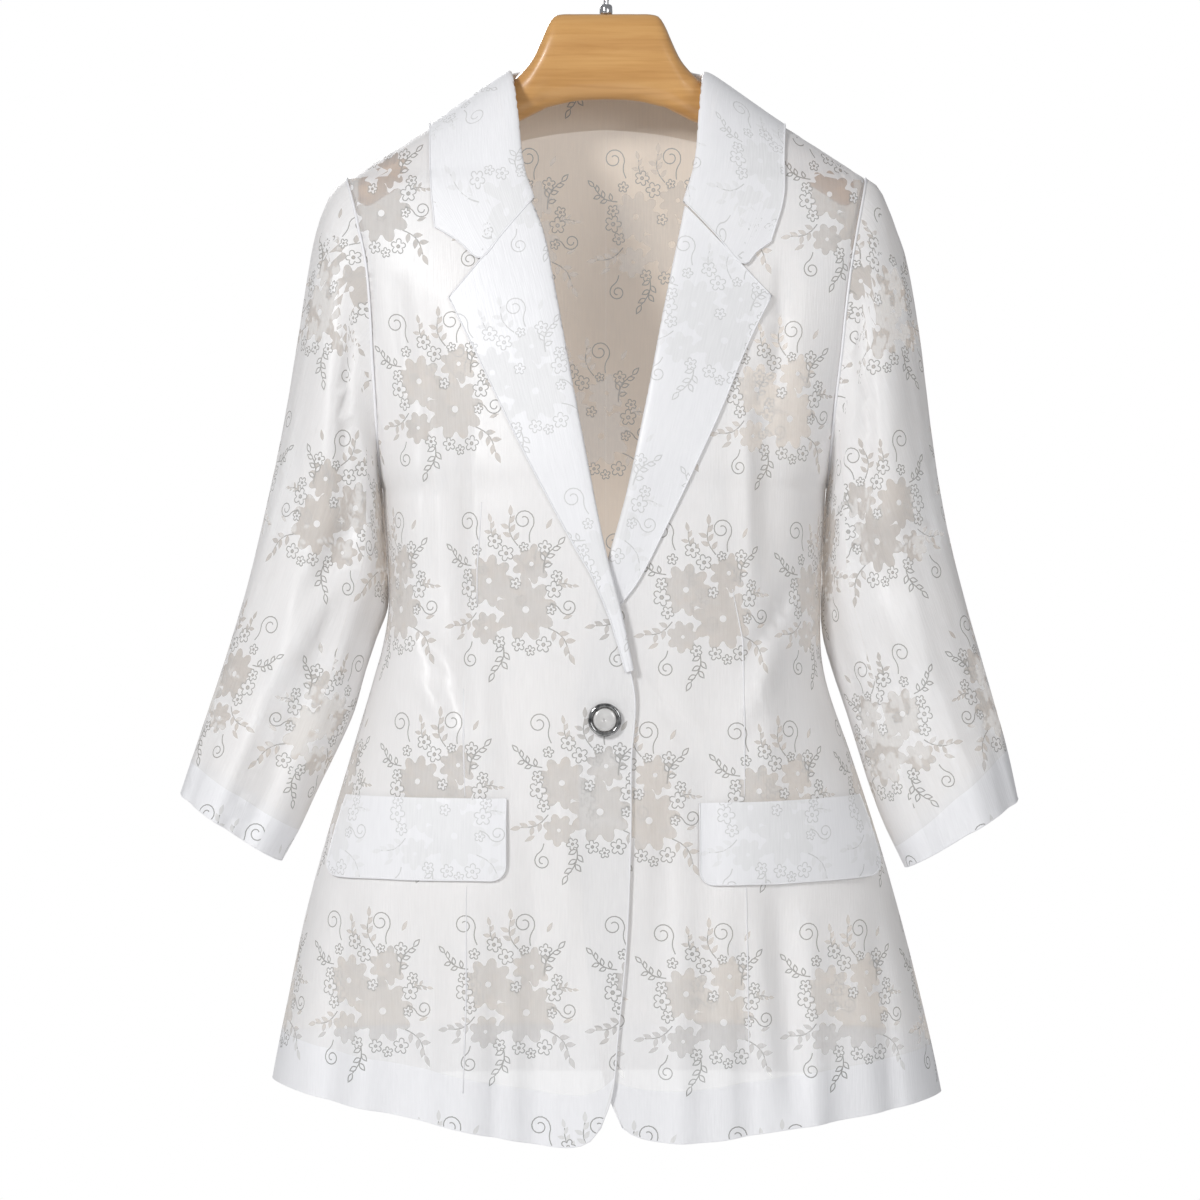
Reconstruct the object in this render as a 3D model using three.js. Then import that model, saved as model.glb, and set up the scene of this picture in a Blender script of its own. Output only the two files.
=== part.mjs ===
// One-button blazer of thin cloth on a contoured wooden hanger. Millimetres, Z up, the front faces -Y.
// The origin is the inner top of the hook, where a rail carries it. The wearer's right side has x below 0.
import * as THREE from "three";

// Driving dimensions
const WALL = 1.3; // cloth
const SEAM = 0.3; // gap between pieces that are sewn together
const ARMHOLE_SEAM = 1.1; // a little more at the armhole, where the rows on its two sides differ
const LIE = 0.35; // gap under what lies on a panel
const RIDGE_DROP = 56.5; // where the two shoulder lines would meet, below the origin
const SHOULDER_SLOPE = 0.65; // down for each 1 across
const SHOULDER_X = 175.4;
const NECK_X = 78; // shoulder seam's inner end
const ARMHOLE_HEIGHT = 209;
const ARMHOLE_FRONT = 46;
const ARMHOLE_BACK = 50;
const SHOULDER_AHEAD = 4; // how far forward the shoulder point sits
const SECTION_POWER = 2.4; // above 2 the sections are squarer than an ellipse
const OVERLAP_SINK = 6; // how far the under front lies behind at the overlap
const ROLL_HIGH = 3.5; // lapel and collar above the cloth beside their fold
const ROLL_OUT = 2.7; // the fold beyond the edge of the cloth it continues
const FLAP_TOP = 587;
const FLAP_HIGH = 54;
const FLAP_CORNER = 10;
const BUTTON_X = -1;
const BUTTON_DROP = 535;
const BUTTON_R = 11;
const BUTTON_HOLE_R = 7.9;
const BUTTON_THICK = 4;
const HOOK_INNER_R = 22;
const WIRE_R = 1.7;
const FERRULE_R = 4.2;
const FERRULE_HIGH = 6.5;
const WOOD_TOP = 58.5;

const SHOULDER_DROP = RIDGE_DROP + SHOULDER_SLOPE * SHOULDER_X;
const NECK_DROP = RIDGE_DROP + SHOULDER_SLOPE * NECK_X;
const UNDERARM_DROP = SHOULDER_DROP + ARMHOLE_HEIGHT;
const HOOK_CENTRE_DROP = HOOK_INNER_R;
const LIFT = WALL + LIE; // outer face of what lies on a panel
const RIGHT = -1;
const LEFT = 1;
const { PI, cos, sin, abs, sqrt, min, max, sign, acos, exp, hypot } = Math;
const { lerp, clamp, smoothstep, degToRad } = THREE.MathUtils;

// A table's first column is its key. Its rows run upwards in that key and are joined by a smooth curve.
function table(names, rows) {
  const keys = rows.map((row) => row[0]);
  const curve = (column) => {
    const values = rows.map((row) => row[column]);
    const spline = new THREE.CubicInterpolant(keys, values, 1);
    return (key) => spline.evaluate(clamp(key, keys[0], keys.at(-1)))[0];
  };
  const columns = names.slice(1).map((name, k) => [name, curve(k + 1)]);
  return Object.fromEntries(columns);
}

// Half width of each side at the side seam and armhole, by drop below the origin
const WIDTH = table(["drop", "right", "left"], [
  [170.5, 175.4, 175.4],
  [188, 170, 172],
  [205, 166, 168.5],
  [230, 160.5, 164],
  [260, 157.5, 160],
  [290, 156, 157],
  [330, 154, 152.5],
  [383, 151.5, 149],
  [420, 149, 147],
  [460, 147.4, 145.6],
  [490, 152, 145.8],
  [504, 156, 147.6],
  [518, 160, 151],
  [558, 172, 165],
  [613, 188.4, 183],
  [667, 203.3, 198.6],
  [722, 215, 212.8],
  [776, 225.8, 225],
  [820, 233, 233],
]);

// Depth of the front and back at the centre, and how round the section is at its side
const DEPTH = table(["drop", "front", "back", "round"], [
  [60, 12, 14, 2.2],
  [100, 30, 34, 2.2],
  [150, 46, 52, 2.1],
  [175, 54, 59, 1.9],
  [200, 62, 66, 1.5],
  [250, 76, 76, 1.25],
  [300, 88, 83, 1.2],
  [350, 96, 86, 1.5],
  [383, 99, 86, 2.2],
  [450, 102, 81, 2.3],
  [540, 101, 80, 2.3],
  [700, 100, 86, 2.3],
  [820, 101, 94, 2.3],
]);

// Front edge of each front: neck seam, roll line, then the free edge to its round corner at the hem
const FRONT_EDGE = table(["drop", "right", "left"], [
  [107.2, 78, 78],
  [140, 69, 70],
  [165, 60.5, 64],
  [192, 51.5, 55],
  [211, 44, 51],
  [254, 35, 42],
  [325, 22, 28.5],
  [391, 9, 14],
  [430, 1, 3],
  [464, -7.5, -7],
  [500, -15, -15],
  [521, -18.8, -18.8],
  [561, -16.5, -17.5],
  [612, -16, -17],
  [687, -13, -13],
  [744, -7.5, -6],
  [782, -3.5, 2],
  [803, 4, 11],
]);

// Hem of each front, by distance from the centre line
const HEM = table(["across", "right", "left"], [
  [3, 805, 794],
  [10, 814, 806.5],
  [20, 818.5, 813],
  [36, 818.5, 816.5],
  [68, 813, 816],
  [100, 806.5, 811],
  [140, 798, 805],
  [190, 789, 797],
  [228, 780, 789],
]);

// Largest folds: soft troughs, or ridges where deep is below 0, that run from one place to another
const FOLD_COLUMNS = ["x0", "drop0", "x1", "drop1", "wide", "deep"];
const FRONT_FOLDS = [
  [-101, 300, -104, 560, 15, 6],
  [-135, 330, -138, 540, 14, -3.5],
  [-62, 400, -60, 640, 18, 3],
  [-46, 600, -44, 1000, 15, 6],
  [-128, 640, -150, 1000, 18, 5],
  [-92, 640, -98, 1000, 16, -4],
  [104, 280, 108, 520, 14, 4],
  [72, 430, 60, 690, 17, 4],
  [112, 640, 132, 800, 14, 6],
  [66, 640, 72, 1000, 16, -3],
  [150, 650, 168, 1000, 15, 4],
];
const BACK_FOLDS = [
  [-110, 300, -104, 560, 16, 5],
  [-50, 380, -40, 700, 18, 4],
  [-120, 600, -140, 1000, 20, 6],
  [-30, 620, -34, 1000, 18, 4],
  [106, 300, 100, 540, 16, 5],
  [58, 400, 52, 720, 18, 4],
  [96, 600, 112, 1000, 18, 6],
  [28, 640, 30, 1000, 16, -3],
];

// Sleeve rings, from the armhole to the cuff. Outer and inner are the ends seen from the front.
const RING_COLUMNS = ["row", "outerX", "outerDrop", "innerX", "innerDrop", "front", "back", "ahead", "bow"];
const RIGHT_SLEEVE = table(RING_COLUMNS, [
  [0, 176.3, 170.5, 152.4, 379.5, 47, 51, 2, 1],
  [1, 180, 172, 152.2, 383, 47.5, 51.5, 2, 0.7],
  [2, 186, 179.5, 151.9, 389, 48.5, 52, 2, 0.45],
  [3, 192, 192, 151.6, 397, 49.5, 53, 2.5, 0.25],
  [4, 197, 208, 151.2, 406, 50.5, 54, 3, 0.1],
  [5, 201, 227, 150.6, 419, 51, 54.5, 3, 0],
  [6, 205.5, 256, 149.8, 436, 51.5, 54.5, 4, 0],
  [7, 211.5, 295, 149.4, 456, 51.5, 53.5, 5, 0],
  [8, 220, 345, 154.7, 479, 50.5, 51, 7, 0],
  [9, 231, 397, 163, 505, 48.5, 48.5, 9, 0],
  [10, 242, 444, 170.5, 532, 46.5, 46, 12, 0],
  [11, 255.5, 490, 181.5, 557, 45, 43.5, 14, 0],
  [12, 269.5, 533, 194.5, 584, 43, 41.5, 17, 0],
  [13, 279.5, 563, 206.5, 610, 41.5, 40, 19, 0],
  [14, 287, 586, 218.5, 632, 40, 38.5, 20, 0],
]);
const LEFT_SLEEVE = table(RING_COLUMNS, [
  [0, 176.3, 170.5, 150, 379.5, 47, 51, 2, 1],
  [1, 181, 172.5, 150, 383, 47.5, 51.5, 2, 0.7],
  [2, 187, 180, 149.8, 390, 48.5, 52, 2, 0.45],
  [3, 192, 191, 149.5, 399, 49.5, 53, 2.5, 0.25],
  [4, 197, 205, 149.2, 410, 50.5, 54, 3, 0.1],
  [5, 203, 222, 148.8, 424, 51, 54.5, 3, 0],
  [6, 208, 247, 148, 443, 51.5, 54.5, 4, 0],
  [7, 213.5, 283, 147.8, 466, 51.5, 53.5, 5, 0],
  [8, 219.5, 334, 151.5, 497, 50.5, 51, 7, 0],
  [9, 225.5, 378, 161, 527, 48.5, 48.5, 9, 0],
  [10, 234.5, 424, 171, 559, 46.5, 46, 12, 0],
  [11, 247, 472, 178.5, 583, 45, 43.5, 14, 0],
  [12, 260, 518, 187, 606, 43, 41.5, 17, 0],
  [13, 270, 554, 194.5, 622, 41.5, 40, 19, 0],
  [14, 278, 590, 201.5, 636.5, 40, 38.5, 20, 0],
]);
const LAST_RING = 14;
// Angles in degrees from the outer side, towards the front
const FRONT_SEAM = 125;
const BACK_SEAM = -100;
const SLEEVE_FOLD_COLUMNS = ["angle0", "row0", "angle1", "row1", "wide", "deep"];
const SLEEVE_FOLDS = [
  [112, 4, 104, 22, 15, 5],
  [70, 7, 62, 13, 15, 3.5],
  [42, 9, 58, 22, 13, -2.5],
  [-60, 6, -72, 20, 16, 4.5],
  [-118, 5, -110, 13, 14, 4],
];

// Collar by stations from the gorge round the neck to the centre back. A station gives the neck seam,
// the roll and the outer edge: x from the centre, and level below the shoulder ridge, below 0 in front.
// Depth goes as the root of the level there, so the levels are joined by their roots.
const STATION_COLUMNS = ["row", "baseX", "base", "rollX", "roll", "midX", "mid", "edgeX", "edge"];
const isLevel = (column) => column > 0 && column % 2 === 0;
const signedPower = (value, power) => sign(value) * abs(value) ** power;
const rooted = (rows) =>
  rows.map((row) => row.map((value, k) => (isLevel(k) ? signedPower(value, 0.5) : value)));
const RIGHT_COLLAR = table(STATION_COLUMNS, rooted([
  [0, 51.5, -102, 50, -102.5, 83, -119.5, 114, -77.5],
  [1, 60, -69.5, 56.5, -75.5, 95, -57.5, 117, -45.5],
  [2, 68.6, -38.5, 60.6, -41.5, 96, -28.5, 118, -18.5],
  [3, 77, 0, 67, 0, 98, 0, 118, 0],
  [4, 70, 2.6, 61, 3, 94, 9, 113, 12],
  [5, 57, 13.3, 49, 6, 80, 19, 99, 26],
  [6, 37, 26.8, 33, 13, 56, 30, 70, 40],
  [7, 17, 40.2, 15, 21, 32, 41, 40, 53],
  [8, 0, 51.3, 0, 27, 0, 57, 0, 75],
]));
const LEFT_COLLAR = table(STATION_COLUMNS, rooted([
  [0, 55, -102, 53.5, -102.5, 90, -118.5, 109.5, -90.5],
  [1, 64, -66.5, 60.5, -72.5, 97, -61.5, 118, -55.5],
  [2, 70, -37.5, 64, -39.5, 98, -31.5, 119, -25.5],
  [3, 77, 0, 68, 0, 99, 0, 120, 0],
  [4, 70, 2.6, 62, 3, 95, 9, 114, 12],
  [5, 57, 13.3, 49, 6, 80, 19, 99, 26],
  [6, 37, 26.8, 33, 13, 56, 30, 70, 40],
  [7, 17, 40.2, 15, 21, 32, 41, 40, 53],
  [8, 0, 51.3, 0, 27, 0, 57, 0, 75],
]));
const LAST_STATION = 8;
const NOTCH_AT = 0.6; // where the mid point lies between roll and edge

// Lapels by rows from the gorge to the lower end: drop on the roll line, then the outer end of the row
const RIGHT_LAPEL = table(["row", "rollDrop", "outerX", "outerDrop"], [
  [0, 193, 104, 256],
  [1, 250, 82, 301],
  [2, 310, 61, 345],
  [3, 352, 43, 380],
  [4, 400, 21, 421],
  [5, 432, 9, 442],
  [6, 468, -3, 471],
  [7, 503, -12.8, 504],
]);
const LEFT_LAPEL = table(["row", "rollDrop", "outerX", "outerDrop"], [
  [0, 197, 109, 255],
  [1, 238, 92, 290],
  [2, 290, 77, 327],
  [3, 340, 57, 371],
  [4, 385, 37, 413],
  [5, 420, 22, 442],
  [6, 440, 12, 456],
  [7, 456, 4, 466],
]);
const LAST_LAPEL_ROW = 7;

// Hanger sections by distance from the centre: top and bottom drops, half thickness
const HANGER = table(["x", "top", "bottom", "half"], [
  [0, 58.5, 116.5, 12],
  [20, 58.5, 117.5, 12],
  [32, 59, 120, 12],
  [36, 60.5, 121, 12],
  [40, 66.5, 122, 12],
  [45, 78, 124.5, 12],
  [50, 88.5, 127, 12],
  [56, 96.5, 130, 11.5],
  [65, 105, 134, 11],
  [78, 112, 140, 11],
  [90, 118.4, 146, 11.5],
  [120, 137.9, 163, 12.5],
  [150, 157.4, 182, 12.5],
  [163, 166, 189, 10],
  [168, 171.5, 186, 5],
]);
const HANGER_END = 168;
const HANGER_ROUND = 0.9; // 1 makes its sections ellipses

// Returns the rows of a list of numbers as objects with named values.
function named(columns, rows) {
  return rows.map((row) => Object.fromEntries(columns.map((name, k) => [name, row[k]])));
}

// Half width of the body on one side at a drop. Above the shoulder point it is the shoulder line.
function halfWidth(side, drop) {
  if (drop < SHOULDER_DROP) return (drop - RIDGE_DROP) / SHOULDER_SLOPE;
  return side === RIGHT ? WIDTH.right(drop) : WIDTH.left(drop);
}

// Depth at the side of a section: the shoulder seam, then the armhole's edge, then the side seam.
function edgeY(face, drop) {
  const ahead = -SHOULDER_AHEAD;
  if (drop < SHOULDER_DROP) {
    const down = max(drop - RIDGE_DROP, 0) / (SHOULDER_DROP - RIDGE_DROP);
    return ahead * down;
  }
  const part = (drop - SHOULDER_DROP) / ARMHOLE_HEIGHT;
  if (part > 1) return 0;
  const open = sqrt(max(1 - (2 * part - 1) ** 2, 0));
  const reach = face === "front" ? -ARMHOLE_FRONT : ARMHOLE_BACK;
  return lerp(ahead, 0, part) + reach * open;
}

// How far the folds push a face of the body inwards at x and drop.
const FOLDS = { front: named(FOLD_COLUMNS, FRONT_FOLDS), back: named(FOLD_COLUMNS, BACK_FOLDS) };
function foldDepth(face, x, drop) {
  let sum = 0;
  for (const fold of FOLDS[face]) {
    const part = (drop - fold.drop0) / (fold.drop1 - fold.drop0);
    if (part <= 0 || part >= 1) continue;
    const away = (x - lerp(fold.x0, fold.x1, part)) / fold.wide;
    sum += fold.deep * sin(PI * part) ** 0.8 * exp(-away * away);
  }
  return sum;
}

// The left front goes behind the right front near the centre.
function overlapSink(side, x, drop) {
  if (side === RIGHT) return 0;
  const near = 1 - smoothstep(x, 20, 80);
  const high = smoothstep(drop, 350, 420);
  const low = 1 - 0.5 * smoothstep(drop, 480, 540);
  return OVERLAP_SINK * near * high * low;
}

// Point on the body's outer face. angle is 0 at the side and a quarter turn at the centre.
function bodyPoint(side, face, angle, drop) {
  const out = face === "front" ? -1 : 1;
  const across = signedPower(cos(angle), 2 / SECTION_POWER);
  const x = side * halfWidth(side, drop) * across;
  const seam = edgeY(face, drop) + (out * SEAM) / 2;
  const centre = out * (face === "front" ? DEPTH.front(drop) : DEPTH.back(drop));
  const share = abs(sin(angle)) ** (2 / DEPTH.round(drop));
  const calm = smoothstep(share, 0, 0.5);
  const sunk = foldDepth(face, x, drop) * calm + (face === "front" ? overlapSink(side, side * x, drop) : 0);
  return new THREE.Vector3(x, lerp(seam, centre, share) - out * sunk, -drop);
}

// Angle of a place across the body, given as a distance from the centre line.
function angleAt(side, across, drop) {
  const part = clamp(across / halfWidth(side, drop), -1, 1);
  return acos(signedPower(part, SECTION_POWER / 2));
}

// Point on the front at x from the centre line, towards the given side.
function frontPoint(side, across, drop) {
  return bodyPoint(side, "front", angleAt(side, across, drop), drop);
}

// Point on the body near the shoulder: level counts down from the ridge, below 0 in front.
function seatPoint(side, across, level) {
  const face = level < 0 ? "front" : "back";
  const drop = RIDGE_DROP + SHOULDER_SLOPE * across + abs(level);
  const point = bodyPoint(side, face, angleAt(side, across, drop), drop);
  if (abs(level) < SEAM) point.y = edgeY(face, drop);
  return point;
}

// Unit normals of a grid of points. turn is 1 or -1 and picks the side. Where square says so, the
// wall's edge faces straight forwards or back, so that front and back meet face to face.
function gridNormals(points, turn, square = () => false) {
  const rows = points.length;
  const columns = points[0].length;
  return points.map((row, i) =>
    row.map((_, j) => {
      const along = row[min(j + 1, columns - 1)].clone().sub(row[max(j - 1, 0)]);
      const down = points[min(i + 1, rows - 1)][j].clone().sub(points[max(i - 1, 0)][j]);
      const normal = along.cross(down).multiplyScalar(turn);
      if (square(i, j)) normal.setY(0);
      return normal.normalize();
    }),
  );
}

// Closed wall whose outer face is a grid of points. turn says which side is out.
function wall(points, turn, normals = gridNormals(points, turn)) {
  const rows = points.length;
  const columns = points[0].length;
  const inner = points.map((row, i) =>
    row.map((point, j) => point.clone().addScaledVector(normals[i][j], -WALL)),
  );
  const vertices = [...points.flat(), ...inner.flat()];
  const outerAt = (i, j) => i * columns + j;
  const innerAt = (i, j) => rows * columns + i * columns + j;
  const faces = [];
  const quad = (a, b, c, d) => {
    const order = turn > 0 ? [a, b, c, a, c, d] : [a, c, b, a, d, c];
    faces.push(...order);
  };
  for (let i = 0; i < rows - 1; i++)
    for (let j = 0; j < columns - 1; j++) {
      quad(outerAt(i, j), outerAt(i, j + 1), outerAt(i + 1, j + 1), outerAt(i + 1, j));
      quad(innerAt(i, j), innerAt(i + 1, j), innerAt(i + 1, j + 1), innerAt(i, j + 1));
    }
  for (let j = 0; j < columns - 1; j++) {
    quad(innerAt(0, j), innerAt(0, j + 1), outerAt(0, j + 1), outerAt(0, j));
    quad(outerAt(rows - 1, j), outerAt(rows - 1, j + 1), innerAt(rows - 1, j + 1), innerAt(rows - 1, j));
  }
  for (let i = 0; i < rows - 1; i++) {
    quad(outerAt(i, 0), outerAt(i + 1, 0), innerAt(i + 1, 0), innerAt(i, 0));
    const end = columns - 1;
    quad(innerAt(i, end), innerAt(i + 1, end), outerAt(i + 1, end), outerAt(i, end));
  }
  return geometryOf(vertices, faces);
}

// Closed solid through rings of points, with a flat cap on each end.
function loft(rings) {
  const sides = rings[0].length;
  const vertices = rings.flat();
  const faces = [];
  for (let i = 0; i < rings.length - 1; i++)
    for (let j = 0; j < sides; j++) {
      const next = (j + 1) % sides;
      const [a, b] = [i * sides + j, i * sides + next];
      const [c, d] = [b + sides, a + sides];
      faces.push(a, b, c, a, c, d);
    }
  const last = (rings.length - 1) * sides;
  for (let j = 1; j < sides - 1; j++) {
    faces.push(0, j + 1, j);
    faces.push(last, last + j, last + j + 1);
  }
  return geometryOf(vertices, faces);
}

function geometryOf(vertices, faces) {
  const geometry = new THREE.BufferGeometry().setFromPoints(vertices);
  geometry.setIndex(faces);
  geometry.computeVertexNormals();
  return geometry;
}

// Grid of points from a function of two shares, each from 0 to 1.
function grid(rows, columns, place) {
  const shares = (count) => Array.from({ length: count + 1 }, (_, k) => k / count);
  return shares(rows).map((v) => shares(columns).map((u) => place(u, v)));
}

const ROWS_CLOSER_ABOVE = 1.4; // body rows lie closer together towards the shoulder
const UNDERARM_AT = 0.32; // share of a body panel's length down to the underarm

// Drop on the side of a body panel: round the armhole, then down the side seam.
function sideDrop(share, hem) {
  if (share > UNDERARM_AT) return lerp(UNDERARM_DROP, hem, (share - UNDERARM_AT) / (1 - UNDERARM_AT));
  return SHOULDER_DROP + (ARMHOLE_HEIGHT * (1 - cos((PI * share) / UNDERARM_AT))) / 2;
}

// Drop on the centre side of a body panel, level with the underarm where the side is.
function centreDrop(share, top, hem) {
  if (share > UNDERARM_AT) return lerp(UNDERARM_DROP, hem, (share - UNDERARM_AT) / (1 - UNDERARM_AT));
  return lerp(top, UNDERARM_DROP, share / UNDERARM_AT);
}

// Fills the drops inside a panel from its top, hem, side and centre.
function blendDrop(u, v, edges) {
  const { top, hem, side, centre } = edges;
  const corners = (1 - v) * lerp(top(0), top(1), u) + v * lerp(hem(0), hem(1), u);
  return lerp(top(u), hem(u), v) + lerp(side(v), centre(v), u) - corners;
}

// Front, from the shoulder seam and armhole to the front edge and hem.
function frontGrid(side) {
  const edge = side === RIGHT ? FRONT_EDGE.right : FRONT_EDGE.left;
  const hemAt = side === RIGHT ? HEM.right : HEM.left;
  const cornerDrop = 803;
  const sideHem = hemAt(228);
  const cornerAngle = angleAt(side, edge(cornerDrop), cornerDrop);
  const hemWidth = halfWidth(side, cornerDrop);
  const edges = {
    top: (u) => lerp(SHOULDER_DROP, NECK_DROP, u),
    hem: (u) => hemAt(hemWidth * signedPower(cos(u * cornerAngle), 2 / SECTION_POWER)),
    side: (v) => sideDrop(v, sideHem),
    centre: (v) => centreDrop(v, NECK_DROP, cornerDrop),
  };
  return grid(30, 14, (u, v) => {
    const down = v ** ROWS_CLOSER_ABOVE;
    const end = edges.centre(down);
    const endAngle = angleAt(side, edge(end), end);
    return bodyPoint(side, "front", u * endAngle, blendDrop(u, down, edges));
  });
}

// Back, from the shoulder seam, neck and armhole to the centre seam and hem.
const BACK_HEM = 786;
const BACK_NECK_DROP = 109;
const BACK_COLUMNS = 13;
const BACK_NECK_AT = 7 / 13; // share of the top edge that is shoulder seam
function backGrid(side) {
  const last = angleAt(side, SEAM / 2, UNDERARM_DROP);
  const neckTurn = (u) => clamp((u - BACK_NECK_AT) / (1 - BACK_NECK_AT), 0, 1);
  const edges = {
    top: (u) => {
      const seam = lerp(SHOULDER_DROP, NECK_DROP, min(u / BACK_NECK_AT, 1));
      return seam + (BACK_NECK_DROP - NECK_DROP) * neckTurn(u);
    },
    hem: () => BACK_HEM,
    side: (v) => sideDrop(v, BACK_HEM),
    centre: (v) => centreDrop(v, BACK_NECK_DROP, BACK_HEM),
  };
  return grid(24, BACK_COLUMNS, (u, v) => {
    const down = v ** ROWS_CLOSER_ABOVE;
    const open = sqrt(min(down / UNDERARM_AT, 1));
    const topAngle = last * neckTurn(u) ** 0.6;
    const angle = lerp(topAngle, u * last, open);
    return bodyPoint(side, "back", angle, blendDrop(u, down, edges));
  });
}

// Point on a sleeve. angle is 0 on the outer side and grows towards the front.
function sleevePoint(side, angle, row) {
  const sleeve = side === RIGHT ? RIGHT_SLEEVE : LEFT_SLEEVE;
  const part = (1 - cos(angle)) / 2;
  const drop = lerp(sleeve.outerDrop(row), sleeve.innerDrop(row), part);
  const chord = lerp(sleeve.outerX(row), sleeve.innerX(row), part);
  const bow = sleeve.bow(row);
  const armholeDrop = SHOULDER_DROP + ARMHOLE_HEIGHT * part;
  const armholeChord = lerp(sleeve.outerX(0), sleeve.innerX(0), part);
  const curve = bow * (halfWidth(side, armholeDrop) + ARMHOLE_SEAM - armholeChord);
  const middle = -lerp(sleeve.ahead(row), SHOULDER_AHEAD * (1 - part), bow);
  const reach = sin(angle) > 0 ? sleeve.front(row) : sleeve.back(row);
  const sunk = sleeveFold(angle, row) / reach;
  const y = middle - reach * sin(angle) * (1 - sunk);
  const inwards = 1 - sunk * 0.5 * abs(sin(angle));
  const centreX = (sleeve.outerX(row) + sleeve.innerX(row)) / 2;
  const x = centreX + (chord + curve - centreX) * inwards;
  return new THREE.Vector3(side * x, y, -drop);
}

const SLEEVE_CREASES = named(SLEEVE_FOLD_COLUMNS, SLEEVE_FOLDS);
function sleeveFold(angle, row) {
  let sum = 0;
  for (const fold of SLEEVE_CREASES) {
    const part = (row - fold.row0) / (fold.row1 - fold.row0);
    if (part <= 0 || part >= 1) continue;
    const middle = lerp(fold.angle0, fold.angle1, part);
    const turn = THREE.MathUtils.euclideanModulo(THREE.MathUtils.radToDeg(angle) - middle + 180, 360) - 180;
    sum += fold.deep * sin(PI * part) ** 0.8 * exp(-((turn / fold.wide) ** 2));
  }
  return sum;
}

// One piece of a sleeve between two seams, in degrees. Its normals come from the whole sleeve, so that
// the pieces face each other squarely along their seams.
const SLEEVE_GAP = THREE.MathUtils.radToDeg(SEAM / 2 / 42);
function sleeveWall(side, from, to, columns) {
  const place = (u, v) => {
    const angle = degToRad(lerp(from + SLEEVE_GAP, to - SLEEVE_GAP, u));
    return [angle, v ** 1.1 * LAST_RING];
  };
  const points = grid(23, columns, (u, v) => sleevePoint(side, ...place(u, v)));
  const normals = grid(23, columns, (u, v) => {
    const [angle, row] = place(u, v);
    const step = 0.05;
    const along = sleevePoint(side, angle + step, row).sub(sleevePoint(side, angle - step, row));
    const above = max(row - step, 0);
    const below = min(row + step, LAST_RING);
    const down = sleevePoint(side, angle, below).sub(sleevePoint(side, angle, above));
    return along.cross(down).normalize().multiplyScalar(side);
  });
  return wall(points, side, normals);
}

const FOLD_START = 1.3;
// Steps across a folded-back piece: how far past the edge it continues, and its height above the panel.
const FOLD_STEPS = [
  { past: FOLD_START, high: -WALL },
  { past: 1.9, high: -1.15 },
  { past: ROLL_OUT, high: 0.8 },
  { past: 1.6, high: 2.4 },
];
// Steps from the fold to the outer edge, as a share of the width
const FALL_STEPS = [
  { share: 0.03, high: 3.2 },
  { share: 0.14, high: ROLL_HIGH },
  { share: 0.32, high: 3.1 },
  { share: NOTCH_AT, high: 2.4 },
  { share: 0.8, high: 1.9 },
  { share: 1, high: LIFT },
];

// Lapel, folded over its front along the roll line.
function lapelGrid(side) {
  const lapel = side === RIGHT ? RIGHT_LAPEL : LEFT_LAPEL;
  const edge = side === RIGHT ? FRONT_EDGE.right : FRONT_EDGE.left;
  const lift = (across, drop, high) => {
    const step = 1;
    const point = frontPoint(side, across, drop);
    const along = frontPoint(side, across + step, drop).sub(frontPoint(side, across - step, drop));
    const down = frontPoint(side, across, drop + step).sub(frontPoint(side, across, drop - step));
    const normal = along.cross(down).normalize();
    if (normal.y > 0) normal.negate();
    return point.addScaledVector(normal, high);
  };
  const rows = [];
  for (let k = 0; k <= 14; k++) {
    const row = (k / 14) * LAST_LAPEL_ROW;
    const rollDrop = lapel.rollDrop(row);
    const rollX = edge(rollDrop);
    const wideX = lapel.outerX(row) - rollX;
    const wideDrop = lapel.outerDrop(row) - rollDrop;
    const width = hypot(wideX, wideDrop);
    const low = smoothstep(width, 0, 40);
    const place = (share, high) => lift(rollX + wideX * share, rollDrop + wideDrop * share, high);
    const fold = FOLD_STEPS.map((step) => place(-step.past / width, step.high));
    const fall = FALL_STEPS.map((step) => place(step.share, LIFT + (step.high - LIFT) * lerp(0.6, 1, low)));
    rows.push([...fold, ...fall]);
  }
  return rows;
}

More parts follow.
